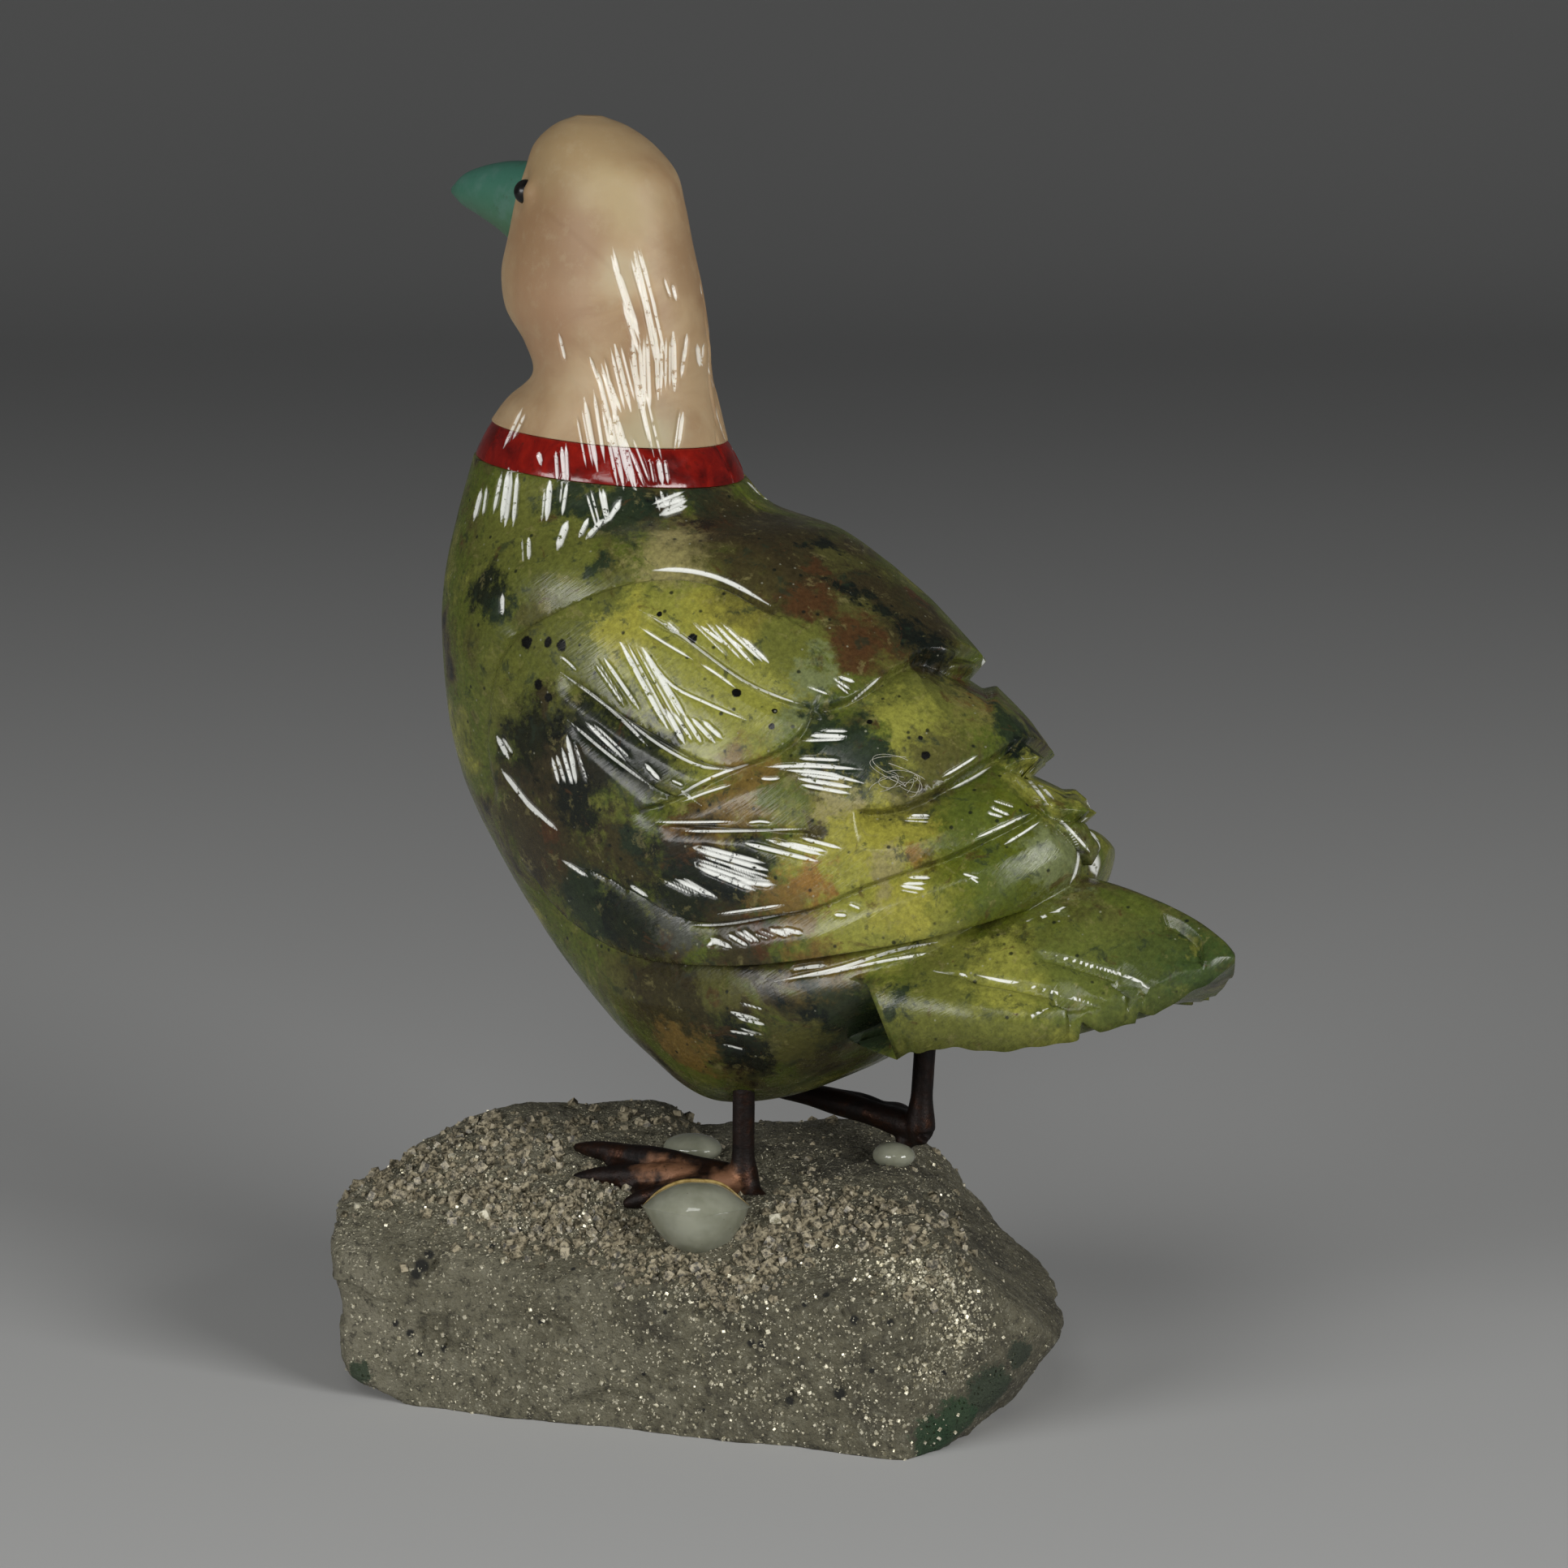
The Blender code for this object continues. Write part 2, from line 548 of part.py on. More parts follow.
def build_rock(clear=0.0):
    """Grid of directions with its poles on the rock's ends; clear grows the skin outwards."""
    u, v = np.meshgrid(np.linspace(0.0, math.pi, ROCK_RINGS + 2)[1:-1],
                       np.arange(ROCK_SIDES) / ROCK_SIDES * 2 * math.pi, indexing="ij")
    way = np.stack([-np.cos(u), np.sin(u) * np.cos(v) * 0.55, np.sin(u) * np.sin(v) * 0.45], -1)
    way = way / np.linalg.norm(way, axis=-1, keepdims=True)
    p = way * rock_skin(way)[..., None]
    rough = 0.35 * lumps(p, 9.0, 3) + 0.18 * lumps(p, 4.0, 4) + clear
    return loft(rock_turned((p + way * rough[..., None]) * ROCK_STRETCH + ROCK_HEART))


GREEN = stone("green_serpentine", (0.16, 0.19, 0.03), 0.15)
RED = stone("red_jasper", (0.42, 0.012, 0.006), 0.2)
PINK = stone("pink_calcite", (0.62, 0.38, 0.24), 0.25)
TEAL = stone("blue_green_stone", (0.05, 0.22, 0.14), 0.25)
BLACK = stone("black_bead", (0.01, 0.01, 0.01), 0.1)
COPPER = stone("brown_cast_metal", (0.06, 0.025, 0.016), 0.45, 0.8)
RESIN = stone("dried_glue", (0.35, 0.36, 0.32), 0.15)
ORE = stone("brassy_ore", (0.11, 0.09, 0.055), 0.6, 0.3)

STAND_AT = np.array([STAND_X, STAND_Y, ROCK_HEIGHT - FEET_UNDER_ROCK_TOP - FEET_LEVEL])


def put(name, shape, mat, on_rock=True):
    """Adds a piece; one of the duck's is moved to where the duck stands on the rock."""
    points, faces = shape
    return add_piece(name, (points + STAND_AT if on_rock else points, faces), mat)


def cutter(name, shape, on_rock=True):
    """A hidden shape that other pieces are cut or joined by."""
    obj = put(name, shape, ORE, on_rock)
    obj.hide_render = True
    obj.display_type = "WIRE"
    return obj


def modify(obj, name, kind, **settings):
    """Adds a modifier with its settings."""
    mod = obj.modifiers.new(name, kind)
    for key, value in settings.items():
        setattr(mod, key, value)


def boolean(obj, other, operation, solver="EXACT"):
    """Cuts or joins a piece by another shape."""
    modify(obj, other.name, "BOOLEAN", object=other, operation=operation, solver=solver)


def cast(obj, ratio):
    """Melts overlapping shapes into one skin and thins it out."""
    modify(obj, "cast", "REMESH", mode="VOXEL", voxel_size=0.25 * MM)
    modify(obj, "soften", "SMOOTH", factor=0.5, iterations=2)
    modify(obj, "fewer", "DECIMATE", ratio=ratio)


# Body and tail in one piece of stone, drilled for the legs
body = put("body", build_body(), GREEN)
modify(body, "fewer", "DECIMATE", ratio=BODY_TRIANGLES / (2 * BODY_RINGS * BODY_SIDES))
tail = cutter("tail_fan", build_tail())
modify(tail, "fewer", "DECIMATE", ratio=TAIL_TRIANGLES / (4 * TAIL_ACROSS * TAIL_ALONG))
boolean(body, tail, "UNION", "MANIFOLD")
for name, leg in LEGS.items():
    boolean(body, cutter(name + "_socket", build_socket(leg)), "DIFFERENCE", "MANIFOLD")

# Rock, cut flat underneath
rock = put("rock_base", build_rock(), ORE, on_rock=False)
bm = bmesh.new()
bm.from_mesh(rock.data)
bmesh.ops.bisect_plane(bm, geom=bm.verts[:] + bm.edges[:] + bm.faces[:], plane_co=(0, 0, 0),
                       plane_no=(0, 0, 1), clear_inner=True)
bmesh.ops.holes_fill(bm, edges=[e for e in bm.edges if e.is_boundary])
bm.to_mesh(rock.data)
bm.free()
rock_room = cutter("rock_room", build_rock(GAP), on_rock=False)

# Legs, whose feet are cut to the rock's surface
leg_rooms = []
for name, leg in LEGS.items():
    piece = put(name, build_leg(leg), COPPER)
    cast(piece, 0.07)
    boolean(piece, rock_room, "DIFFERENCE")
    room = cutter(name + "_room", build_leg(leg, GAP))
    cast(room, 0.1)
    leg_rooms.append(room)

# Dried glue: a bead on the slope under the left foot, a drop at the right heel, a patch between
SLOPE_ACROSS = rock_turned(np.array([1.0, 0.0, 0.0]))
SLOPE_OUT = rock_turned(np.array([0.0, -0.49, 0.87]))
SLOPE = (SLOPE_ACROSS, np.cross(SLOPE_OUT, SLOPE_ACROSS), SLOPE_OUT)
LEVEL = np.eye(3)
GLUE = {
    "glue_bead_left": ((3.9, -11.5, 13.0), SLOPE, GLUE_BEAD),
    "glue_drop_right": ((8.6, 5.0, 15.6), LEVEL, GLUE_DROP),
    "glue_patch_middle": ((-3.2, -2.0, 16.0), LEVEL, GLUE_PATCH),
}
for name, (middle, axes, size) in GLUE.items():
    drop = put(name, bead(np.array(middle) * FORM, axes, size), RESIN)
    for room in [rock_room] + leg_rooms:
        boolean(drop, room, "DIFFERENCE")

# Collar, head with sockets for the eyes and a seat for the beak
put("collar", build_collar(), RED)
head = put("head_and_neck", build_head(), PINK)
put("beak", build_beak(), TEAL)
boolean(head, cutter("beak_room", build_beak(GAP)), "DIFFERENCE")
for name, side in (("left_eye", -1), ("right_eye", 1)):
    middle = eye_middle(side)
    put(name, bead(middle, LEVEL, EYE_DIAMETER, 6, 10), BLACK)
    eye_room = cutter(name + "_room", bead(middle, LEVEL, EYE_DIAMETER + 2 * GAP, 6, 10))
    boolean(head, eye_room, "DIFFERENCE")
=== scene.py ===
"""Looks of a small duck carved from coloured stones, standing on a lump of glittering ore.

The duck faces -X, its left side is -Y and +Z is up. Points are worked out in millimetres and
become metres when a mesh is made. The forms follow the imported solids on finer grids, and the
wheel cuts, feather strokes, pits and grains are added to them.
"""

import math

import bpy
import numpy as np
from mathutils import Matrix, Vector


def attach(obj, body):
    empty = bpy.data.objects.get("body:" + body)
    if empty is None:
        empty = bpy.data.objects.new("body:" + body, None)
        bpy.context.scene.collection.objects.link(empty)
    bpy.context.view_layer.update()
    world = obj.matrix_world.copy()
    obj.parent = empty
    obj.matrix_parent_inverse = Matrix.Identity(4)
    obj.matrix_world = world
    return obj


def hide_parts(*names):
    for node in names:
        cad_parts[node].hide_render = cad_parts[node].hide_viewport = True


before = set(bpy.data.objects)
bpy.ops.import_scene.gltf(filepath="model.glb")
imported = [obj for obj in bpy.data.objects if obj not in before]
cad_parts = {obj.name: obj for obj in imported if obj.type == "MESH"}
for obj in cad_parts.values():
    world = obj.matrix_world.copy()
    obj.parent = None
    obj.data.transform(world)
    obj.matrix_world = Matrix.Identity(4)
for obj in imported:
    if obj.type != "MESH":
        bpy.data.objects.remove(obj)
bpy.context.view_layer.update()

MM = 0.001

# The camera, in the photograph's own frame of pixels
PHOTO_PIXELS = 1932
LENS = 130.0
SENSOR = 36.0
DISTANCE = 380.0
LOOK_AT = np.array([5.6, 2.0, 41.0])
LOOK_TURN = math.radians(35.0)
LOOK_TIP = math.radians(9.0)
RIGHT = np.array([math.cos(LOOK_TURN), math.sin(LOOK_TURN), 0.0])
BACK = np.array([math.sin(LOOK_TURN) * math.cos(LOOK_TIP), -math.cos(LOOK_TURN) * math.cos(LOOK_TIP),
                 math.sin(LOOK_TIP)])
UP = np.cross(BACK, RIGHT)
CAMERA_AT = LOOK_AT + BACK * DISTANCE

# The carving's driving sizes, as in its solids; heights of the duck are in its own drawing
STAND_AT = np.array([2.6, 2.0, 0.0])
COLLAR_THICK = 2.4
COLLAR_HALF_LENGTH = 9.6
COLLAR_HALF_WIDTH = 8.5
COLLAR_TOP_SHARE = 0.87
COLLAR_TILT = math.tan(math.radians(5.0))
COLLAR_X = -11.45
COLLAR_Z = 61.65
SEAM = 0.06                     # how wide a glued joint between two stones shows
HEAD_TURN = math.radians(10.0)
HEAD_AXIS_X = COLLAR_X - 0.95
NECK_FOOT_Z = COLLAR_Z + COLLAR_THICK + SEAM
BEAK_LENGTH = 10.0
BEAK_INLET = 0.5
BEAK_SEAT = 5.0
EYE_DIAMETER = 1.7
EYE_INSET = 0.3
EYE_PLACE = 0.667
EYE_ANGLE = math.radians(56.0)
TAIL_FLATNESS = 0.9
TAIL_LEAN = 2.3
LEG_DIAMETER = 1.5
TOE_DIAMETER = 1.6
WEB_THICK = 0.9
ROCK_TURN = math.radians(35.0)

BODY_GRID = (640, 720)
TAIL_GRID = (220, 190)
COLLAR_GRID = (60, 700)
HEAD_GRID = (210, 450)
BEAK_GRID = (150, 150)
BEAD_GRID = (40, 48)
ROCK_GRID = (330, 296)
GLUE_GRID = (80, 200)
# Angles round three skins at which they face the camera, in degrees
BODY_SIDE = 55
COLLAR_SIDE = -55
HEAD_SIDE = 125
BODY_TRIANGLES = 192000
CAST_GRAIN = 0.12               # the feet's voxels
HAND_POLISH = 0.05              # how uneven polishing has left the green stone


def spline(rows, t):
    """Catmull-Rom curve through evenly spaced rows of numbers, read at t from 0 to 1."""
    p = np.asarray(rows, float)
    p = np.vstack([2 * p[0] - p[1], p, 2 * p[-1] - p[-2]])
    x = np.clip(np.asarray(t, float), 0.0, 1.0) * (len(p) - 3)
    i = np.minimum(x.astype(int), len(p) - 4)
    f = (x - i)[..., None]
    a, b, c, d = p[i], p[i + 1], p[i + 2], p[i + 3]
    return 0.5 * (2 * b + (c - a) * f + (2 * a - 5 * b + 4 * c - d) * f**2
                  + (3 * b - a - 3 * c + d) * f**3)


def smooth(x):
    """Smooth step from 0 to 1 as x goes from 0 to 1: 3x² - 2x³."""
    x = np.clip(x, 0.0, 1.0)
    return x * x * (3 - 2 * x)


def hashed(cell, seed):
    """A number from 0 to 1 for each whole-number cell, mixed from its three coordinates."""
    x, y, z = (cell[..., i].astype(np.int64) for i in range(3))
    n = (x * 374761393 + y * 668265263 + z * 1274126177 + seed * 974711) & 0x7FFFFFFF
    n = ((n ^ (n >> 13)) * 1103515245) & 0x7FFFFFFF
    n = ((n ^ (n >> 11)) * 12820163) & 0x7FFFFFFF
    return (n ^ (n >> 15)) / 0x7FFFFFFF


def clouds(p, size, seed):
    """Smooth noise from -1 to 1 with lumps of a size: hashed corners of a lattice blended by
    smooth steps, with a second octave at half the size and half the height."""
    total = np.zeros(p.shape[:-1])
    for octave in range(2):
        q = p / size * 2**octave
        cell = np.floor(q)
        f = smooth(q - cell)
        value = np.zeros(p.shape[:-1])
        for corner in range(8):
            offset = np.array([corner & 1, corner >> 1 & 1, corner >> 2])
            weight = np.prod(np.where(offset, f, 1 - f), axis=-1)
            value += weight * hashed(cell + offset, seed + octave)
        total += (2 * value - 1) / 2**octave
    return total


def chips(p, size, seed):
    """Cells round scattered points: the distance to the nearest point, as a share of the size,
    and that cell's own number from 0 to 1."""
    q = p / size
    cell = np.floor(q)
    best = np.full(p.shape[:-1], 9.0)
    number = np.zeros(p.shape[:-1])
    for near in range(27):
        there = cell + np.array([near % 3, near // 3 % 3, near // 9]) - 1
        point = there + np.stack([hashed(there, seed + i) for i in range(3)], -1)
        distance = np.linalg.norm(q - point, axis=-1)
        closer = distance < best
        best = np.where(closer, distance, best)
        number = np.where(closer, hashed(there, seed + 5), number)
    return best, number


def on_photo(p):
    """Pixel coordinates at which the camera sees points of the model, by perspective."""
    away = p - CAMERA_AT
    scale = LENS / SENSOR * PHOTO_PIXELS / -(away @ BACK)
    return PHOTO_PIXELS / 2 + scale * (away @ RIGHT), PHOTO_PIXELS / 2 - scale * (away @ UP)


def finder(points):
    """A function that gives the point of a surface which the camera sees at a pixel: of the
    points within 8 pixels, the one nearest the camera."""
    flat = points.reshape(-1, 3)
    across, down = on_photo(flat)
    depth = np.linalg.norm(flat - CAMERA_AT, axis=-1)

    def seen(x, y):
        return flat[np.argmin(np.where(np.hypot(across - x, down - y) < 8, depth, 1e6))]

    return seen


def ring_grid(rings, sides, dense_at=None):
    """u from 0 to 1 along the rings, and v once round each ring, closer together round the
    angle dense_at, in degrees: v = s - 0.5 sin(s - dense_at)."""
    turn = np.arange(sides) / sides * 2 * math.pi
    u, v = np.meshgrid(np.linspace(0, 1, rings), turn, indexing="ij")
    if dense_at is not None:
        v = v - 0.5 * np.sin(v - math.radians(dense_at))
    return u, v


def skin_normals(p):
    """Outward normals of rings of points: the cross product of the ways along and round."""
    across = (np.roll(p, -1, axis=1) - np.roll(p, 1, axis=1)) / 2
    n = np.cross(np.gradient(p, axis=0), across)
    n /= np.maximum(np.linalg.norm(n, axis=-1, keepdims=True), 1e-9)
    return -n if np.sum(n * (p - p.mean(axis=1, keepdims=True))) < 0 else n


def skin(rings):
    """Points, quads and triangles of a closed skin: quads from ring to ring and a fan of
    triangles over each end, wound so that the faces look outwards."""
    m, n, _ = rings.shape
    hubs = np.stack([rings[0].mean(axis=0), rings[-1].mean(axis=0)])
    points = np.concatenate([rings.reshape(-1, 3), hubs])
    i, j = np.meshgrid(np.arange(m - 1), np.arange(n), indexing="ij")
    k = (j + 1) % n
    quads = np.stack([i * n + j, i * n + k, (i + 1) * n + k, (i + 1) * n + j], -1).reshape(-1, 4)
    a = np.arange(n)
    b = (a + 1) % n
    fan = np.stack([b, a, np.full(n, m * n)], -1)
    far_fan = np.stack([a + (m - 1) * n, b + (m - 1) * n, np.full(n, m * n + 1)], -1)
    triangles = np.concatenate([fan, far_fan])
    corners = points[quads]
    volume = np.sum(np.cross(corners[:, 0], corners[:, 1]) * corners[:, 2])
    volume += np.sum(np.cross(corners[:, 0], corners[:, 2]) * corners[:, 3])
    if volume < 0:
        quads = quads[:, ::-1]
        triangles = triangles[:, ::-1]
    return points, quads, triangles


def joined(skins):
    """Several skins as one set of points, quads and triangles."""
    points, quads, triangles = [], [], []
    start = 0
    for p, q, t in skins:
        points.append(p)
        quads.append(q + start)
        triangles.append(t + start)
        start += len(p)
    return np.concatenate(points), np.concatenate(quads), np.concatenate(triangles)


def make(name, shape, flat=False):
    """An object at the origin whose mesh holds the points, quads and triangles of a shape."""
    points, quads, triangles = shape
    mesh = bpy.data.meshes.new(name)
    mesh.vertices.add(len(points))
    mesh.vertices.foreach_set("co", (points * MM).ravel())
    mesh.loops.add(quads.size + triangles.size)
    mesh.loops.foreach_set("vertex_index", np.concatenate([quads.ravel(), triangles.ravel()]))
    mesh.polygons.add(len(quads) + len(triangles))
    starts = np.concatenate([np.arange(len(quads)) * 4, quads.size + np.arange(len(triangles)) * 3])
    mesh.polygons.foreach_set("loop_start", starts)
    mesh.update(calc_edges=True)
    mesh.validate()
    if flat:
        mesh.shade_flat()
    else:
        mesh.shade_smooth()
    obj = bpy.data.objects.new(name, mesh)
    bpy.context.scene.collection.objects.link(obj)
    return obj


def modify(obj, name, kind, **settings):
    """Adds a modifier with its settings."""
    mod = obj.modifiers.new(name, kind)
    for key, value in settings.items():
        setattr(mod, key, value)


def settle(obj):
    """Replaces an object's mesh by what its modifiers make of it."""
    bpy.context.view_layer.update()
    made = bpy.data.meshes.new_from_object(obj.evaluated_get(bpy.context.evaluated_depsgraph_get()))
    obj.modifiers.clear()
    obj.data = made
    made.shade_smooth()
    return obj


def dress(obj, material, slot, *nodes):
    """Gives a piece its material, and lets it stand for solids and ride on the one body."""
    obj.data.materials.clear()
    obj.data.materials.append(material)
    if nodes:
        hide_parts(*nodes)
    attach(obj, "root")
    return obj


def collar_underside(x):
    """Height of the collar's underside at x; the collar leans back."""
    return COLLAR_Z - (x - COLLAR_X) * COLLAR_TILT


# Body: ribs from the collar to the tail (back x, back z, front x, front z, half-width)
RIB_BACK = COLLAR_X + COLLAR_HALF_LENGTH
RIB_FRONT = COLLAR_X - COLLAR_HALF_LENGTH
RIBS = [
    (RIB_BACK, collar_underside(RIB_BACK) - SEAM, RIB_FRONT, collar_underside(RIB_FRONT) - SEAM,
     COLLAR_HALF_WIDTH + 0.1),
    (0.4, 59.1, -22.2, 58.2, 9.9),
    (5.4, 58.0, -22.8, 53.2, 12.4),
    (10.0, 55.5, -22.5, 46.8, 14.2),
    (14.1, 52.4, -20.9, 40.2, 15.0),
    (17.6, 49.0, -16.9, 33.7, 15.2),
    (20.8, 45.6, -11.9, 27.3, 14.6),
    (23.8, 42.7, -6.5, 22.2, 13.4),
    (26.4, 40.5, -0.5, 19.1, 12.0),
    (27.4, 38.2, 8.0, 21.5, 10.2),
    (28.6, 36.8, 17.0, 27.0, 8.0),
]


def egg(u, v):
    """Skin of the body without its carving: each rib is an ellipse between its back and front
    points, with a slight ridge along the back, and the last ribs close to a point."""
    rib = spline(RIBS, u)
    back = rib[..., 0:2]
    front = rib[..., 2:4]
    middle = (back + front) / 2
    reach = (back - front) / 2
    shut = np.sqrt(np.clip(1 - np.clip((u - 0.86) / 0.14, 0, 1) ** 2, 0, 1))
    off_ridge = np.abs(np.angle(np.exp(1j * v)))
    ridge = 1 + 0.06 * smooth((u - 0.3) / 0.3) * np.exp(-off_ridge / 0.35)
    c = np.cos(v) * ridge * shut
    s = np.sin(v) * shut
    x = middle[..., 0] + reach[..., 0] * c
    z = middle[..., 1] + reach[..., 1] * c
    return np.stack([x, -rib[..., 4] * s, z], axis=-1)


# Cuts and grooves are drawn on the photograph; the side that it doesn't show mirrors them
PX_PER_MM = 18.75


def mirrored(p):
    """Points of the duck with those on its right side mirrored to its left."""
    return np.stack([p[..., 0], -np.abs(p[..., 1]), p[..., 2]], -1)


def on_stencil(pixels):
    """Pixels of the photograph, all across and all down, as stencil coordinates."""
    across, down = pixels
    return (across - PHOTO_PIXELS / 2) / PX_PER_MM, (PHOTO_PIXELS / 2 - down) / PX_PER_MM


def stencil(p):
    """Across and up coordinates at which the camera sees points of the duck, in millimetres
    from the photograph's middle."""
    return on_stencil(on_photo(p + STAND_AT))


# Each wheel cut: its line in pixels, depth, width of its steep wall and of its gentle side, and
# which side of the line (left +1, right -1) is the feather that stands proud
WING_CUTS = [
    (((600, 800), (645, 768), (700, 738), (765, 713), (830, 705), (895, 718), (960, 755)), 0.85, 0.5,
     3.0, -1),
    (((610, 1000), (592, 930), (596, 864), (612, 805), (645, 768)), 0.5, 0.6, 2.0, -1),
    (((790, 755), (850, 793), (915, 838), (960, 862), (1002, 873)), 0.5, 0.2, 1.2, 1),
    (((1002, 873), (1045, 862), (1090, 836), (1130, 806)), 0.9, 0.2, 2.2, 1),
    (((688, 828), (740, 868), (811, 912), (867, 942), (905, 948)), 0.5, 0.2, 1.2, 1),
    (((770, 1006), (832, 984), (902, 950), (950, 930), (985, 905), (1002, 873)), 0.8, 0.2, 1.8, 1),
    (((701, 884), (750, 925), (800, 968), (832, 984)), 0.45, 0.2, 1.2, 1),
    (((806, 1018), (870, 1021), (940, 1025), (1000, 1027)), 0.4, 0.2, 1.0, 1),
    (((1050, 1000), (1095, 998), (1140, 982), (1190, 952), (1250, 915)), 1.4, 0.2, 2.6, 1),
    (((680, 1058), (760, 1092), (848, 1138), (930, 1134), (1000, 1122), (1069, 1092), (1165, 1058),
     (1225, 1028), (1292, 992)), 0.75, 0.2, 1.8, 1),
    (((640, 1060), (690, 1130), (760, 1175), (830, 1192), (930, 1193), (1020, 1182), (1120, 1165),
     (1200, 1146), (1290, 1118), (1372, 1092)), 1.5, 0.2, 2.6, 1),
    (((1086, 833), (1120, 814), (1150, 806), (1176, 812)), 1.0, 0.15, 1.5, 1),
    (((1250, 944), (1272, 968), (1296, 994), (1330, 1002)), 1.0, 0.15, 1.4, 1),
    (((1300, 1008), (1322, 1030), (1340, 1056), (1346, 1084)), 0.7, 0.15, 1.2, 1),
]
# Steps between feathers that cross the back where the camera sees its outline
BACK_CUTS = [
    (((1118, 808), (1146, 798), (1172, 803), (1192, 812), (1240, 822)), 1.7, 0.12, 4.0, 1),
    (((1180, 960), (1215, 940), (1245, 936), (1285, 934), (1330, 934)), 2.0, 0.12, 3.4, 1),
    (((1262, 982), (1290, 998), (1315, 1001), (1345, 1001), (1385, 1001)), 1.6, 0.12, 2.4, 1),
]
TAIL_CUTS = [
    (((1180, 1197), (1260, 1211), (1335, 1228), (1400, 1246)), 0.5, 0.2, 1.0, 1),
    (((1290, 1234), (1312, 1240), (1328, 1254), (1331, 1266), (1326, 1285)), 1.3, 0.12, 1.7, -1),
    (((1270, 1170), (1345, 1190), (1425, 1222)), 0.5, 0.2, 1.0, 1),
    (((1366, 1206), (1380, 1216), (1396, 1232), (1400, 1244), (1398, 1262)), 1.2, 0.12, 1.6, -1),
    (((1430, 1124), (1458, 1138), (1478, 1158), (1482, 1182)), 0.8, 0.15, 1.6, 1),
]
# Notches in the tail's lower rim where feathers end
TAIL_NOTCHES = [
    (((1318, 1240), (1330, 1268), (1334, 1300)), 1.2, 0.15, 1.3, -1),
    (((1388, 1225), (1400, 1250), (1404, 1280)), 0.8, 0.15, 1.2, -1),
]


def from_route(x, y, path):
    """For points near a route of straight legs: the distance to it, how far along it from 0 to
    1, and on which side, positive to its left."""
    best = np.full(x.shape, 1e9)
    turn = np.zeros(x.shape)
    along = np.zeros(x.shape)
    for i in range(len(path) - 1):
        leg = path[i + 1] - path[i]
        dx = x - path[i][0]
        dy = y - path[i][1]
        f = np.clip((dx * leg[0] + dy * leg[1]) / (leg @ leg), 0, 1)
        distance = np.hypot(dx - f * leg[0], dy - f * leg[1])
        near = distance < best
        best = np.where(near, distance, best)
        turn = np.where(near, leg[0] * dy - leg[1] * dx, turn)
        along = np.where(near, (i + f) / (len(path) - 1), along)
    return best, along, turn


def close_to(x, y, path, reach):
    """Which points lie within a reach of the box round a route."""
    low = path.min(axis=0) - reach
    high = path.max(axis=0) + reach
    return (x > low[0]) & (x < high[0]) & (y > low[1]) & (y < high[1])


def carving(p, cuts):
    """How far the wheel cuts reach below the skin. Each is depth · (1 - distance / width) to
    the power 1.3, where the width is small on the proud side of the line and large opposite."""
    across, up = stencil(p)
    deep = np.zeros(across.shape)
    for line, depth, steep, gentle, side in cuts:
        path = spline(np.stack(on_stencil(np.array(line, float).T), -1), np.linspace(0, 1, 25))
        near = close_to(across, up, path, gentle)
        distance, along, turn = from_route(across[near], up[near], path)
        fall = distance / np.where(turn * side > 0, steep, gentle)
        fade = smooth(along / 0.12) * (0.4 + 0.6 * smooth((1 - along) / 0.04))
        deep[near] = np.maximum(deep[near], depth * np.clip(1 - fall, 0, 1) ** 1.3 * fade)
    return deep


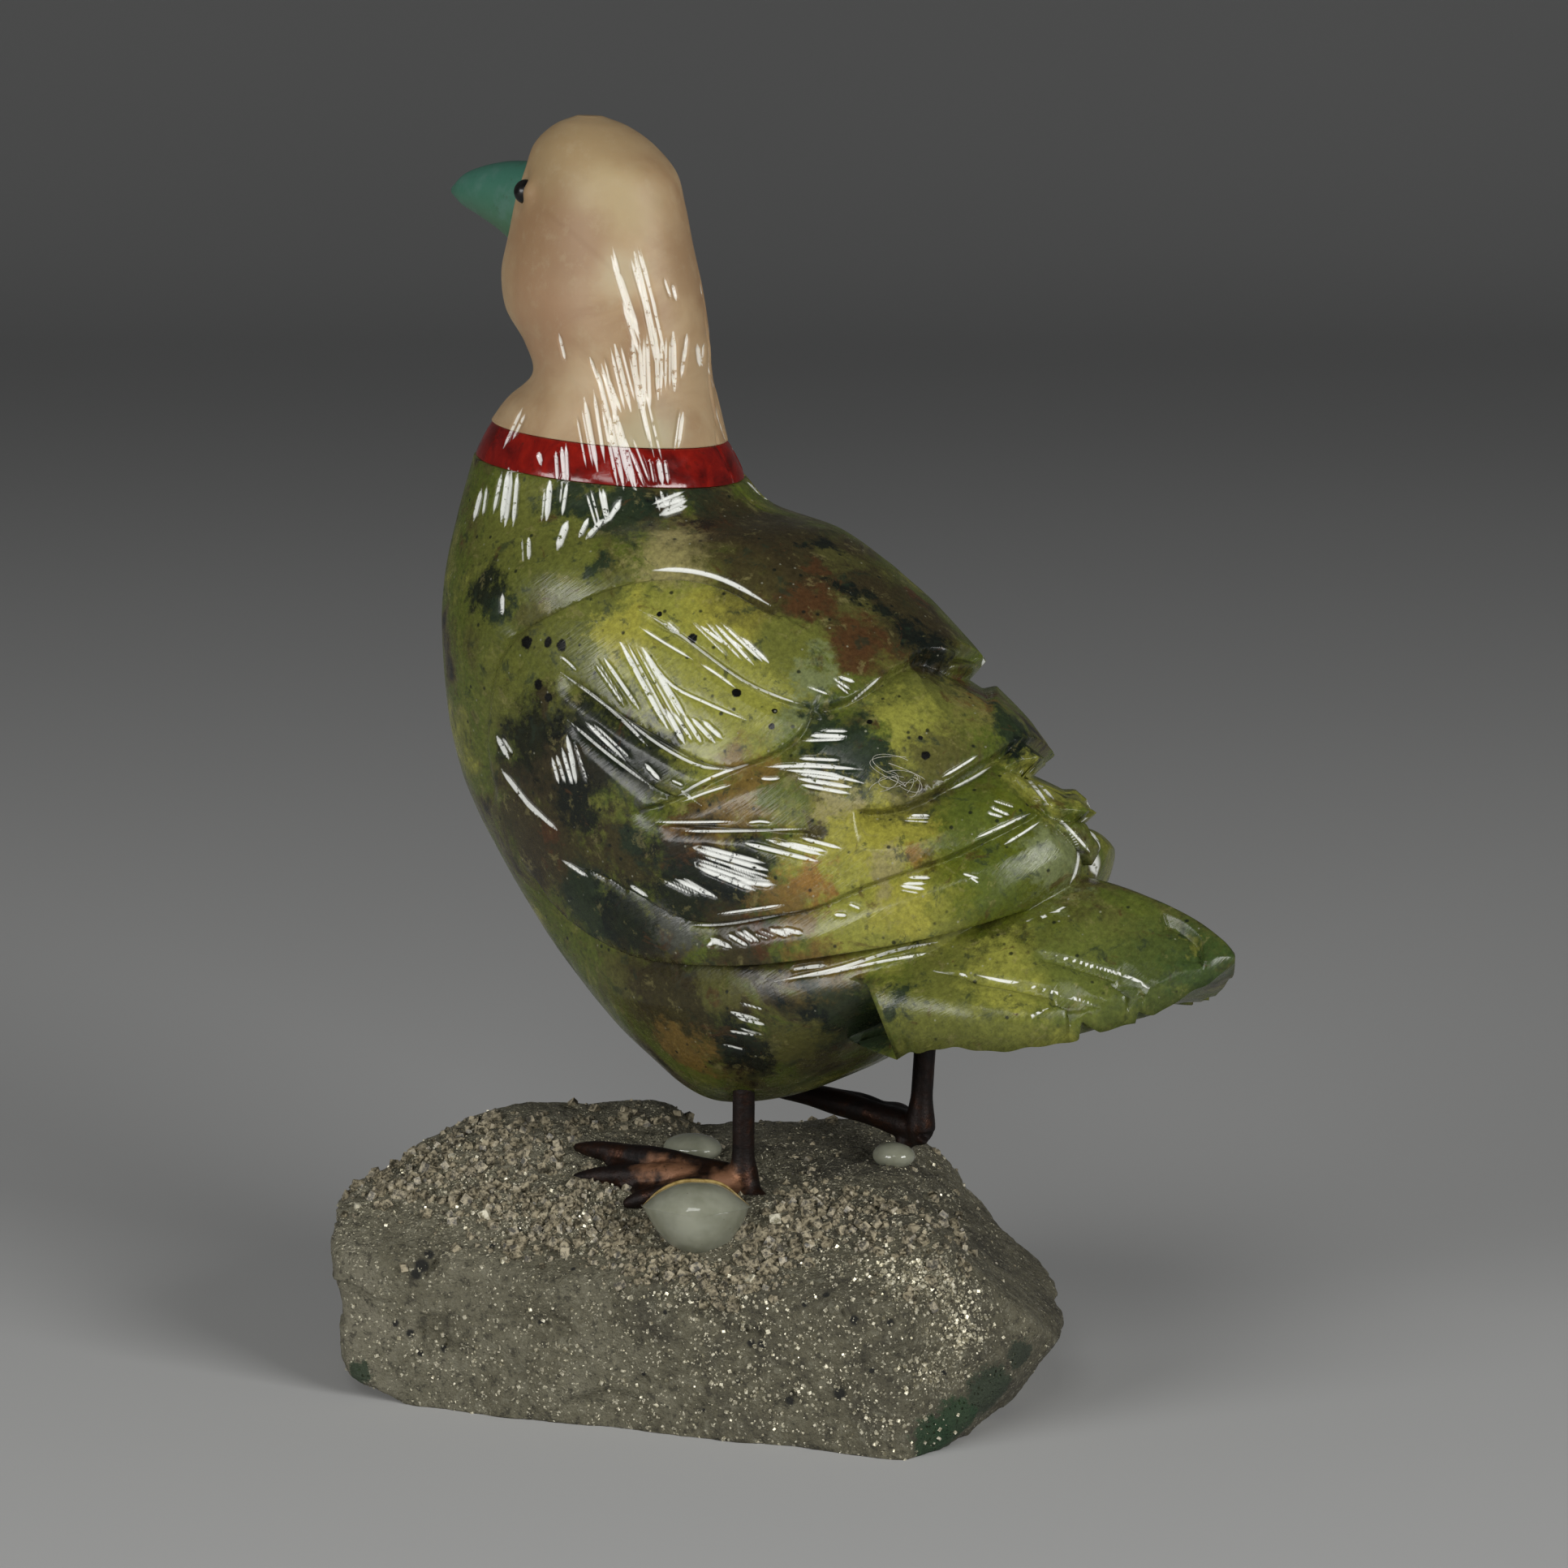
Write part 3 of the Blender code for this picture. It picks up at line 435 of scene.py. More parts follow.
# Fans of strokes cut with the edge of a small wheel, in the photograph's pixels: the first
# stroke (x0, y0, x1, y1), the last one, how many, depth in mm and half-width in pixels
WING_STROKES = [
    ((840, 758, 900, 822), (890, 762, 952, 822), 4, 0.24, 4.2),
    ((850, 765, 880, 790), (925, 790, 960, 822), 3, 0.18, 3.6),
    ((812, 765, 836, 782), (822, 766, 842, 784), 2, 0.20, 5.0),
    ((722, 806, 768, 872), (742, 800, 796, 890), 3, 0.22, 3.8),
    ((758, 782, 826, 912), (790, 790, 862, 902), 5, 0.26, 4.6),
    ((812, 868, 836, 918), (866, 888, 900, 914), 5, 0.26, 4.8),
    ((724, 884, 788, 944), (716, 886, 770, 935), 3, 0.20, 4.0),
    ((672, 934, 684, 966), (712, 905, 728, 972), 5, 0.22, 4.0),
    ((696, 902, 704, 950), (700, 906, 712, 946), 2, 0.20, 3.6),
    ((607, 905, 628, 940), (622, 905, 634, 930), 2, 0.18, 4.2),
    ((610, 940, 654, 1000), (652, 996, 696, 1032), 4, 0.22, 4.4),
    ((680, 1054, 716, 1078), (786, 1094, 814, 1110), 4, 0.20, 3.8),
    ((790, 938, 816, 966), (800, 946, 812, 960), 2, 0.16, 3.6),
    ((820, 955, 840, 968), (855, 990, 874, 1002), 3, 0.16, 3.4),
    ((1008, 898, 1048, 898), (978, 916, 1050, 912), 3, 0.22, 4.0),
    ((978, 930, 1042, 932), (976, 970, 1058, 984), 6, 0.24, 4.2),
    ((1022, 832, 1056, 850), (1028, 845, 1046, 858), 2, 0.20, 3.8),
    ((1052, 828, 1066, 838), (970, 850, 1016, 862), 2, 0.14, 3.4),
    ((905, 1037, 1002, 1064), (996, 1033, 1046, 1043), 4, 0.24, 4.2),
    ((852, 1036, 960, 1066), (846, 1068, 944, 1104), 6, 0.26, 5.0),
    ((838, 1078, 894, 1108), (806, 1084, 858, 1108), 4, 0.26, 4.8),
    ((884, 1054, 956, 1084), (900, 1092, 960, 1092), 4, 0.24, 5.6),
    ((864, 1166, 884, 1156), (880, 1154, 908, 1170), 3, 0.20, 4.4),
    ((888, 1150, 920, 1168), (966, 1142, 994, 1150), 8, 0.20, 4.4),
    ((955, 1197, 998, 1190), (1004, 1192, 1030, 1186), 2, 0.22, 4.2),
    ((1104, 1010, 1150, 1018), (1118, 1002, 1150, 1002), 3, 0.16, 3.4),
    ((1100, 1100, 1138, 1106), (1122, 1078, 1148, 1080), 4, 0.16, 3.6),
    ((1180, 1072, 1208, 1084), (1198, 1084, 1212, 1086), 2, 0.12, 3.4),
    ((1222, 984, 1258, 990), (1218, 1004, 1238, 1014), 3, 0.18, 3.6),
    ((1050, 1110, 1072, 1118), (1020, 1128, 1036, 1132), 2, 0.14, 3.8),
    ((908, 1226, 947, 1240), (900, 1272, 945, 1284), 3, 0.16, 3.8),
    ((900, 1240, 945, 1248), (885, 1294, 922, 1304), 3, 0.14, 3.8),
]
BREAST_STROKES = [
    ((590, 604, 583, 652), (602, 592, 592, 642), 2, 0.20, 4.2),
    ((617, 578, 606, 640), (642, 572, 634, 656), 4, 0.24, 4.6),
    ((667, 600, 665, 652), (681, 588, 678, 642), 2, 0.22, 4.6),
    ((692, 568, 688, 622), (702, 598, 696, 645), 2, 0.24, 4.6),
    ((700, 640, 684, 692), (696, 636, 688, 676), 1, 0.26, 7.0),
    ((714, 602, 736, 664), (748, 596, 752, 640), 4, 0.24, 4.6),
    ((765, 606, 752, 634), (770, 622, 740, 654), 3, 0.26, 5.8),
    ((756, 636, 728, 668), (716, 640, 706, 664), 2, 0.24, 5.4),
    ((800, 620, 846, 602), (814, 636, 852, 622), 5, 0.26, 6.5),
    ((800, 606, 812, 632), (834, 600, 838, 622), 4, 0.26, 5.0),
    ((639, 650, 641, 708), (656, 660, 655, 690), 2, 0.20, 4.6),
    ((611, 726, 612, 765), (620, 735, 623, 758), 1, 0.18, 4.6),
]
NECK_STROKES = [
    ((750, 304, 774, 400), (760, 330, 795, 430), 4, 0.24, 5.0),
    ((772, 308, 800, 402), (786, 300, 815, 398), 3, 0.22, 4.2),
    ((764, 356, 784, 426), (770, 380, 788, 440), 2, 0.20, 4.2),
    ((814, 334, 821, 372), (834, 352, 837, 376), 2, 0.16, 3.6),
    ((777, 412, 788, 506), (799, 402, 802, 524), 4, 0.26, 5.8),
    ((806, 396, 806, 494), (833, 406, 834, 492), 5, 0.24, 5.0),
    ((838, 425, 835, 472), (849, 402, 850, 440), 2, 0.20, 4.0),
    ((857, 420, 863, 458), (861, 425, 866, 450), 1, 0.20, 4.4),
    ((730, 450, 750, 536), (768, 412, 788, 500), 6, 0.24, 4.4),
    ((722, 428, 736, 470), (752, 470, 772, 520), 3, 0.16, 3.8),
    ((704, 503, 720, 602), (732, 470, 752, 570), 4, 0.24, 4.6),
    ((738, 498, 758, 604), (762, 505, 788, 604), 4, 0.24, 4.6),
    ((680, 556, 684, 596), (700, 545, 708, 602), 3, 0.22, 4.2),
    ((794, 560, 804, 602), (822, 566, 826, 600), 3, 0.22, 4.4),
    ((838, 498, 829, 562), (843, 505, 835, 552), 2, 0.20, 4.0),
    ((776, 304, 812, 470), (790, 300, 826, 470), 3, 0.20, 3.8),
    ((768, 420, 800, 560), (786, 430, 820, 590), 4, 0.22, 4.2),
    ((745, 520, 764, 606), (780, 530, 812, 606), 4, 0.24, 4.4),
    ((646, 498, 616, 552), (650, 508, 632, 545), 2, 0.20, 4.0),
    ((659, 560, 664, 575), (670, 556, 668, 572), 2, 0.16, 4.0),
    ((688, 408, 694, 458), (691, 405, 697, 440), 1, 0.16, 4.2),
    ((882, 522, 886, 548), (884, 530, 888, 545), 1, 0.14, 4.0),
]
# Single curved grooves along the feathers' edges: their points, depth and half-width
WING_GROOVES = [
    # The first is a painted highlight: a shallow groove along the wing's upper ridge, painted white
    # where light glints on its bevel
    (((796, 703), (835, 702), (872, 708), (908, 722), (956, 750)), 0.10, 6.0),
    (((787, 751), (835, 780), (905, 832), (950, 855), (1000, 872)), 0.20, 3.2),
    (((787, 772), (820, 793), (856, 814)), 0.16, 3.0),
    (((862, 817), (885, 832), (908, 849)), 0.16, 3.0),
    (((687, 826), (735, 860), (775, 895), (800, 922)), 0.24, 4.0),
    (((690, 808), (700, 816), (712, 828)), 0.12, 3.0),
    (((762, 878), (808, 915), (860, 943), (902, 948)), 0.20, 3.6),
    (((788, 794), (825, 842), (870, 866), (926, 890)), 0.20, 3.6),
    (((697, 885), (750, 930), (805, 971)), 0.22, 3.8),
    (((940, 945), (1000, 944), (1064, 948)), 0.24, 4.4),
    (((960, 948), (1020, 954), (1068, 966)), 0.22, 4.0),
    (((936, 959), (948, 960), (962, 959)), 0.14, 3.4),
    (((805, 1013), (850, 1013), (912, 1012)), 0.16, 3.0),
    (((835, 1024), (900, 1024), (1000, 1021)), 0.20, 3.4),
    (((920, 1014), (936, 1012), (952, 1014)), 0.14, 3.0),
    (((878, 1127), (930, 1120), (968, 1114)), 0.16, 3.0),
    (((845, 1140), (900, 1138), (992, 1121)), 0.18, 3.0),
    (((1045, 868), (1064, 852), (1086, 833)), 0.18, 3.2),
    (((828, 986), (860, 966), (896, 950), (936, 938)), 0.20, 3.6),
    (((840, 988), (872, 976), (904, 966)), 0.14, 3.0),
    (((1160, 958), (1182, 945), (1206, 930)), 0.18, 3.2),
    (((1168, 974), (1196, 960), (1222, 944)), 0.18, 3.2),
    (((1253, 947), (1272, 966), (1292, 992)), 0.22, 4.2),
    (((1262, 946), (1282, 968), (1300, 986)), 0.18, 3.6),
    (((1200, 1034), (1235, 1018), (1270, 1002)), 0.18, 3.2),
    (((1235, 1042), (1258, 1028), (1282, 1012)), 0.16, 3.0),
    (((1298, 1002), (1322, 1026), (1345, 1052)), 0.18, 3.6),
    (((1310, 1015), (1328, 1045), (1326, 1072), (1318, 1090)), 0.12, 3.6),
    (((952, 1210), (1030, 1194), (1100, 1172), (1160, 1160)), 0.24, 4.2),
    (((1000, 1204), (1080, 1186), (1160, 1172)), 0.20, 3.6),
    (((1262, 1136), (1295, 1126), (1328, 1110)), 0.22, 4.2),
]
TAIL_GROOVES = [
    (((1142, 1196), (1200, 1203), (1260, 1213), (1330, 1232), (1352, 1240)), 0.22, 4.6),
    (((1284, 1172), (1345, 1190), (1396, 1206), (1424, 1224)), 0.20, 4.4),
    (((1228, 1266), (1262, 1256), (1292, 1242)), 0.14, 4.0),
    (((1302, 1180), (1330, 1186), (1352, 1196)), 0.14, 3.2),
    (((1150, 1245), (1170, 1250), (1200, 1256)), 0.12, 3.4),
    (((1466, 1222), (1484, 1226), (1500, 1218)), 0.10, 3.4),
]


# How much wider grooves are on the far side: lines, strokes that run on there, and strokes that
# are left out there
LINE_BEYOND = 1.8
SAME_BEYOND = 1.0
NONE_BEYOND = 0.01
LINE_BRIGHTNESS = 0.96
STROKE_ERROR = 1.6              # in pixels


def groove_routes(fans, lines, seed, beyond):
    """Grooves as their route, depth, half-width, brightness and how much wider they are on the
    far side. Each stroke of a fan lies between the fan's first and last, with its own small
    error."""
    rng = np.random.default_rng(seed)
    routes = []
    for line, depth, half in lines:
        route = spline(line, np.linspace(0, 1, 12))
        routes.append((route, depth, half, LINE_BRIGHTNESS, LINE_BEYOND))
    for first, last, count, depth, half in fans:
        for share in (np.arange(count) + 0.5) / count:
            ends = np.array(first) * (1 - share) + np.array(last) * share
            ends += rng.normal(0, STROKE_ERROR, 4)
            start, end = ends[:2], ends[2:]
            way = end - start
            route = np.stack([start + way * rng.uniform(0, 0.10), end - way * rng.uniform(0, 0.12)])
            strength = rng.uniform(0.0, 1.0)
            routes.append((route, depth * (0.5 + 0.5 * strength), half * rng.uniform(0.85, 1.25),
                           0.86 + 0.16 * strength, beyond))
    return routes


def grooves(p, routes):
    """What grooves on either side of the duck do to points. Their depth is depth · (1 -
    distance / half-width) to the power 1.1, nearly a V, and how white they are, the wheel's frosting
    with painted glints on it, is brightness · (1 - distance / 3 half-widths). Both run out at the ends."""
    x, y = on_photo(mirrored(p) + STAND_AT)
    deep = np.zeros(x.shape)
    white = np.zeros(x.shape)
    for route, depth, width, bright, beyond in routes:
        near = close_to(x, y, route, 3 * width)
        distance, along, _ = from_route(x[near], y[near], route)
        half = width * np.where(p[..., 1][near] > 0.5, beyond, 1.0)
        ends = smooth(along / 0.25) * smooth((1 - along) / 0.25)
        cut = depth * np.clip(1 - distance / half, 0, 1) ** 1.1 * ends
        deep[near] = np.maximum(deep[near], cut)
        left = bright * (1 - distance / half / 3) * (0.86 + 0.14 * ends)
        white[near] = np.maximum(white[near], left)
    return deep, white


NECK_ROUTES = groove_routes(NECK_STROKES, [], 13, SAME_BEYOND)
NECK_ROUTES += groove_routes(BREAST_STROKES, [], 14, SAME_BEYOND)
WING_ROUTES = groove_routes(WING_STROKES, WING_GROOVES, 11, NONE_BEYOND)
TAIL_ROUTES = groove_routes([], TAIL_GROOVES, 12, SAME_BEYOND)


def facing(normals, p):
    """How squarely the duck's faces look at the camera, those of its right side mirrored."""
    side = np.ones(p.shape)
    side[..., 1] = np.where(p[..., 1] > 0, -1.0, 1.0)
    return (normals * side) @ BACK


def workable(normals, p):
    """Where the wheel reached: 1, falling to 0 on faces that look forward, away from the camera."""
    return np.maximum(smooth(facing(normals, p) / 0.4), smooth(normals[..., 0] / 0.4 + 0.5))


# The neck's grooves on the far side: how many, and the ranges of their angle about the neck, of
# their upper end's height, and of their length, depth and half-width
FAR_GROOVES = 40
FAR_ANGLES = (0.1, 2.2)
FAR_HEIGHTS = (60, 76)
FAR_LENGTHS = (3, 8)
FAR_DEPTHS = (0.08, 0.20)
FAR_HALF_WIDTHS = (0.16, 0.24)


def neck_grooves(p, normals):
    """Depth of the hair-fine grooves that run down the neck, over the collar and onto the
    breast. The far side has more, straight in the angle about the neck and in height."""
    rng = np.random.default_rng(15)
    angle = np.arctan2(p[..., 1], p[..., 0] - COLLAR_X)
    radius = np.hypot(p[..., 0] - COLLAR_X, p[..., 1])
    deep = np.zeros(angle.shape)
    for middle in rng.uniform(*FAR_ANGLES, FAR_GROOVES):
        high = rng.uniform(*FAR_HEIGHTS)
        long = rng.uniform(*FAR_LENGTHS)
        f = (high - p[..., 2]) / long
        off = np.abs(np.angle(np.exp(1j * (angle - middle))))
        depth = rng.uniform(*FAR_DEPTHS)
        half = rng.uniform(*FAR_HALF_WIDTHS)
        cut = depth * np.clip(1 - (off * radius / half) ** 2, 0, 1)
        deep = np.maximum(deep, cut * smooth(f / 0.2) * smooth((1 - f) / 0.2))
    return np.maximum(deep, grooves(p, NECK_ROUTES)[0] * workable(normals, p))


def paint_groove_white_and_glints(obj, routes):
    """Stores on each point of a piece how white the grooves are, the wheel's frosting with painted
    glints on it, on faces that look towards the camera or, on the far side, mirror those that do."""
    count = len(obj.data.vertices)
    place = np.empty(count * 3, np.float32)
    obj.data.vertices.foreach_get("co", place)
    normal = np.empty(count * 3, np.float32)
    obj.data.vertex_normals.foreach_get("vector", normal)
    p = place.reshape(-1, 3) / MM - STAND_AT
    n = normal.reshape(-1, 3)
    white = grooves(p, routes)[1] * smooth(facing(n, p) / 0.2)
    stored = obj.data.attributes.new("white", "FLOAT", "POINT")
    stored.data.foreach_set("value", white.astype(np.float32))
    return obj


def body_rings():
    """The egg, lowered along its normals by the wheel cuts and the grooves and raised or
    lowered a little by the unevenness of hand polishing."""
    u, v = ring_grid(*BODY_GRID, BODY_SIDE)
    base = egg(u, v)
    out = skin_normals(base)
    reached = workable(out, base)
    within = smooth((u - 0.06) / 0.08) * smooth((1.0 - u) / 0.06)
    deep = carving(mirrored(base), WING_CUTS) * reached * within
    step = carving(base, BACK_CUTS) * smooth((0.85 - np.abs(out @ BACK)) / 0.2)
    deep = np.maximum(deep, step)
    deep = deep - HAND_POLISH * clouds(base, 4.0, 21) * smooth((u - 0.02) / 0.1)
    carved = base - out * deep[..., None]
    fine = np.maximum(grooves(carved, WING_ROUTES)[0] * reached,
                      neck_grooves(carved, out) * smooth((0.4 - u) / 0.1))
    return carved - out * fine[..., None]


# Tail: a fan with a ridge along its middle (x, z), whose rim rows are (x, half-width, height
# of its underside, thickness)
TAIL_RIDGE = [
    (8.0, 34.0), (16.0, 35.9), (23.0, 37.1), (28.0, 36.9), (31.8, 36.2), (35.4, 35.0), (38.2, 33.4),
]
TAIL_EDGE = [
    (17.6, 11.5, 26.1, 4.6), (20.8, 11.5, 26.9, 3.7), (24.4, 11.1, 27.3, 2.9), (28.1, 9.6, 27.4, 2.3),
    (30.7, 7.2, 28.0, 2.0), (33.4, 4.7, 28.9, 2.0), (36.2, 2.4, 30.7, 1.6), (38.0, 0.6, 32.3, 1.0),
]


def tail_rings():
    """Upper and lower skins on a grid of s along the tail and t across it, carved on top. The
    rim's ripple is a sum of two sines of s, where feather tips end, and the tip is rounded by
    shrinking the last rings about their middles."""
    along, across = (count for count in TAIL_GRID)
    s, t = np.meshgrid(np.linspace(0, 1, along), np.linspace(-1, 1, across), indexing="ij")
    ridge = spline(TAIL_RIDGE, s)
    edge = spline(TAIL_EDGE, s)
    out = np.abs(t)
    rim = edge[..., 2] + edge[..., 3]
    x = ridge[..., 0] + (edge[..., 0] - ridge[..., 0]) * out ** (3.0 - 1.6 * s)
    y = -edge[..., 1] * t
    z = ridge[..., 1] + (rim - ridge[..., 1]) * out ** (2.0 - 0.75 * s)
    thick = edge[..., 3] + TAIL_FLATNESS * (z - rim)
    top = np.stack([x, y, z], -1)
    low = np.stack([x + TAIL_LEAN * (1 - s) ** 6, y, z - thick], -1)
    fine = grooves(top, TAIL_ROUTES)[0] - HAND_POLISH * clouds(top, 3.0, 22)
    notch = carving(mirrored(low), TAIL_NOTCHES) * smooth((out - 0.8) / 0.2)
    top[..., 2] -= np.minimum(carving(mirrored(top), TAIL_CUTS) + fine, thick * 0.6)
    low[..., 2] += np.minimum(notch, thick * 0.85)
    ripple = 0.10 * np.sin(s * 31) + 0.05 * np.sin(s * 73 + 1.0)
    low[..., 2] += ripple * smooth((out - 0.6) / 0.4) * smooth(s / 0.1)
    rings = np.concatenate([top, low[:, ::-1]], axis=1)
    middle = rings.mean(axis=1, keepdims=True)
    shrink = np.sqrt(1 - np.clip((s[:, :1, None] - 0.93) / 0.07, 0, 0.998) ** 2)
    return middle + (rings - middle) * shrink


def collar_rings():
    """A leaning disc that narrows evenly upwards, with the neck's grooves on it. Its edges are
    rounded by taking off a share of 0.012 (2u - 1)⁴."""
    u, v = ring_grid(*COLLAR_GRID, COLLAR_SIDE)
    share = 1 - (1 - COLLAR_TOP_SHARE) * u - 0.012 * (2 * u - 1) ** 4
    x = COLLAR_X + COLLAR_HALF_LENGTH * share * np.cos(v)
    y = COLLAR_HALF_WIDTH * share * np.sin(v)
    p = np.stack([x, y, collar_underside(x) + COLLAR_THICK * u], -1)
    out = np.stack([np.cos(v), np.sin(v), 0 * v], -1)
    deep = neck_grooves(p, out) - 0.03 * clouds(p, 2.0, 23)
    return p - out * deep[..., None]


# Neck and head: (height over the neck's foot, centre forward of the collar's middle,
# half-length, half-width) of level rings
HEAD_RINGS = [
    (0.0, 0.0, COLLAR_HALF_LENGTH * COLLAR_TOP_SHARE, COLLAR_HALF_WIDTH * COLLAR_TOP_SHARE),
    (1.75, -0.45, 7.5, 6.7),
    (3.75, -1.25, 6.4, 5.8),
    (5.85, -0.85, 6.9, 5.7),
    (8.05, 0.25, 7.7, 5.9),
    (10.25, 0.65, 7.7, 5.8),
    (12.65, 0.75, 7.2, 5.4),
    (15.25, 0.65, 6.5, 5.0),
    (17.45, 0.55, 5.7, 4.5),
    (19.25, 1.15, 4.3, 3.7),
    (20.45, 1.45, 2.6, 2.3),
    (21.05, 1.65, 0.9, 0.8),
]
# The oval seat behind the beak: its middle's height, half-width, half-height and slope beyond
# them, with the chin that it leaves below
SEAT_HEIGHT = 14.4
SEAT_HALF_WIDTH = 2.3
SEAT_HALF_HEIGHT = 3.3
SEAT_SLOPE = 1.1
SEAT_BLEND = 0.3
CHIN_HEIGHT = 11.85
CHIN_DEPTH = 4.0
# Depth of the dish round each eye, and height of its rim, which lies further round the head
EYE_DISH = 0.25
EYE_RIM = 0.55
RIM_FURTHER = 0.20              # in radians


def turned(p, angle):
    """Points turned about the head's upright axis, towards the duck's right."""
    c, s = np.cos(angle), np.sin(angle)
    x = p[..., 0] - HEAD_AXIS_X
    return np.stack([HEAD_AXIS_X + c * x + s * p[..., 1], c * p[..., 1] - s * x, p[..., 2]], -1)


def eye_middle(side, further=0.0):
    """Centre of an eye bead, just under the head's skin beside the beak, or a place further
    round the head by an angle."""
    row = spline(HEAD_RINGS, np.array(EYE_PLACE))
    angle = EYE_ANGLE + further
    x = COLLAR_X - row[1] - (row[2] - EYE_INSET) * math.cos(angle)
    y = side * (row[3] - EYE_INSET) * math.sin(angle)
    return turned(np.array([x, y, NECK_FOOT_Z + row[0]]), HEAD_TURN)


def head_rings():
    """Level rings that lean with the collar at the neck's foot, with an oval seat cut behind the
    beak, a shallow dish round each eye with a rim at its rear, unevenness left by the wheel and
    the neck's grooves. The seat meets the head by a smooth maximum of a and b, which is
    (a + b + √((a - b)² + c²)) / 2."""
    u, v = ring_grid(*HEAD_GRID, HEAD_SIDE)
    row = spline(HEAD_RINGS, u)
    height = row[..., 0]
    x = COLLAR_X - row[..., 1] - row[..., 2] * np.cos(v)
    y = -row[..., 3] * np.sin(v)
    lean = (x - COLLAR_X) * COLLAR_TILT * smooth(1 - height / 6.0)
    chin = CHIN_DEPTH * smooth((CHIN_HEIGHT - height) / 1.4)
    oval = np.hypot(y / SEAT_HALF_WIDTH, (height - SEAT_HEIGHT) / SEAT_HALF_HEIGHT)
    beyond = np.clip(oval - 1.05, 0, None) * SEAT_HALF_WIDTH
    seat = HEAD_AXIS_X - BEAK_SEAT - chin - SEAT_SLOPE * beyond
    x = (x + seat + np.hypot(x - seat, SEAT_BLEND)) / 2
    p = turned(np.stack([x, y, NECK_FOOT_Z + height - lean], -1), HEAD_TURN * smooth(height / 8.0))
    out = skin_normals(p)
    deep = neck_grooves(p, out)
    for side in (-1, 1):
        off = np.linalg.norm(p - eye_middle(side), axis=-1) / EYE_DIAMETER
        rim = np.linalg.norm(p - eye_middle(side, RIM_FURTHER), axis=-1) / EYE_DIAMETER
        deep = deep + EYE_DISH * np.exp(-(off / 0.75) ** 4) - EYE_RIM * np.exp(-(rim / 0.48) ** 2)
    deep = deep - 0.10 * clouds(p, 5.0, 24) * smooth(u / 0.1)
    return p - out * deep[..., None]


# Beak: (top, bottom, half-width) of upright rings, their heights over the neck's foot
BEAK_RINGS = [
    (17.5, 11.3, 2.3), (17.8, 11.7, 2.3), (17.85, 12.3, 2.2), (17.7, 13.1, 2.05), (17.4, 13.8, 1.75),
    (16.9, 14.4, 1.25), (15.9, 15.2, 0.35),
]


def beak_rings():
    """Upright elliptic rings from the beak's root to its blunt tip."""
    u, v = ring_grid(*BEAK_GRID)
    row = spline(BEAK_RINGS, u)
    half_height = (row[..., 0] - row[..., 1]) / 2
    x = HEAD_AXIS_X - BEAK_SEAT + BEAK_INLET - u * BEAK_LENGTH
    y = row[..., 2] * np.sin(v)
    z = NECK_FOOT_Z + row[..., 1] + half_height + half_height * np.cos(v)
    p = turned(np.stack([x, y, z], -1), HEAD_TURN)
    return p + 0.03 * clouds(p, 2.5, 25)[..., None]


def bead(middle, size):
    """A round bead: latitude from u, longitude from v, half of each size from its middle."""
    u, v = ring_grid(*BEAD_GRID)
    u = 0.02 + u * (math.pi - 0.04)
    local = np.stack([np.sin(u) * np.cos(v), np.sin(u) * np.sin(v), np.cos(u)], -1)
    return np.asarray(middle) + local * np.asarray(size) / 2


def tube(path, radii, sides=24):
    """A round tube: circles of given radii square to a path of points."""
    path = np.asarray(path, float)
    ways = np.gradient(path, axis=0)
    ways /= np.linalg.norm(ways, axis=1, keepdims=True)
    first = np.cross(ways, [0.3, 0.9, 0.2])
    first /= np.linalg.norm(first, axis=1, keepdims=True)
    second = np.cross(ways, first)
    turn = np.arange(sides) / sides * 2 * math.pi
    c, s = np.cos(turn)[None, :, None], np.sin(turn)[None, :, None]
    circle = c * first[:, None] + s * second[:, None]
    return skin(path[:, None] + circle * np.asarray(radii)[:, None, None])


# Feet: toe tips as (forward, outward) from the ankle, and the legs' points in the drawing
TOES = [(13.4, -2.3), (12.1, 1.1), (7.4, 3.4)]
LEGS = {
    "left_leg": {"top": (4.3, -6.5, 22.6), "ankle": (4.0, -6.2, 15.0), "heel": (5.8, -6.5, 13.7),
                 "yaw": 12, "roll": 24, "pitch": 0, "side": -1},
    "right_leg": {"top": (10.6, 6.2, 26.6), "ankle": (9.9, 6.2, 17.0), "heel": (8.6, 5.8, 15.9),
                  "yaw": 8, "roll": 12, "pitch": 6, "side": 1},
}


def foot_frame(leg):
    """Forward, outward and upward directions of a foot. Yaw turns the toes outwards, roll
    lowers the outer edge and pitch lifts the toes, in degrees; side is -1 for the left leg."""
    yaw, roll, pitch = (math.radians(leg[key]) for key in ("yaw", "roll", "pitch"))
    forward = np.array([-math.cos(yaw), leg["side"] * math.sin(yaw), 0.0])
    outward = np.array([math.sin(yaw), leg["side"] * math.cos(yaw), 0.0])
    up = np.array([0.0, 0.0, 1.0])
    forward, up = (forward * math.cos(pitch) + up * math.sin(pitch),
                   up * math.cos(pitch) - forward * math.sin(pitch))
    outward, up = (outward * math.cos(roll) - up * math.sin(roll),
                   up * math.cos(roll) + outward * math.sin(roll))
    return np.array([forward, outward, up])


def toe_line(toe, t):
    """Bent middle line of a toe, from just behind the ankle to its tip, as t goes from 0 to 1.
    It rises by a quarter of sin πt less a quarter of t³."""
    forward, outward = toe
    rise = 0.25 * np.sin(t * math.pi) - 0.25 * t**3
    return np.stack([forward * t - 0.2 * (1 - t), outward * t, rise], -1)


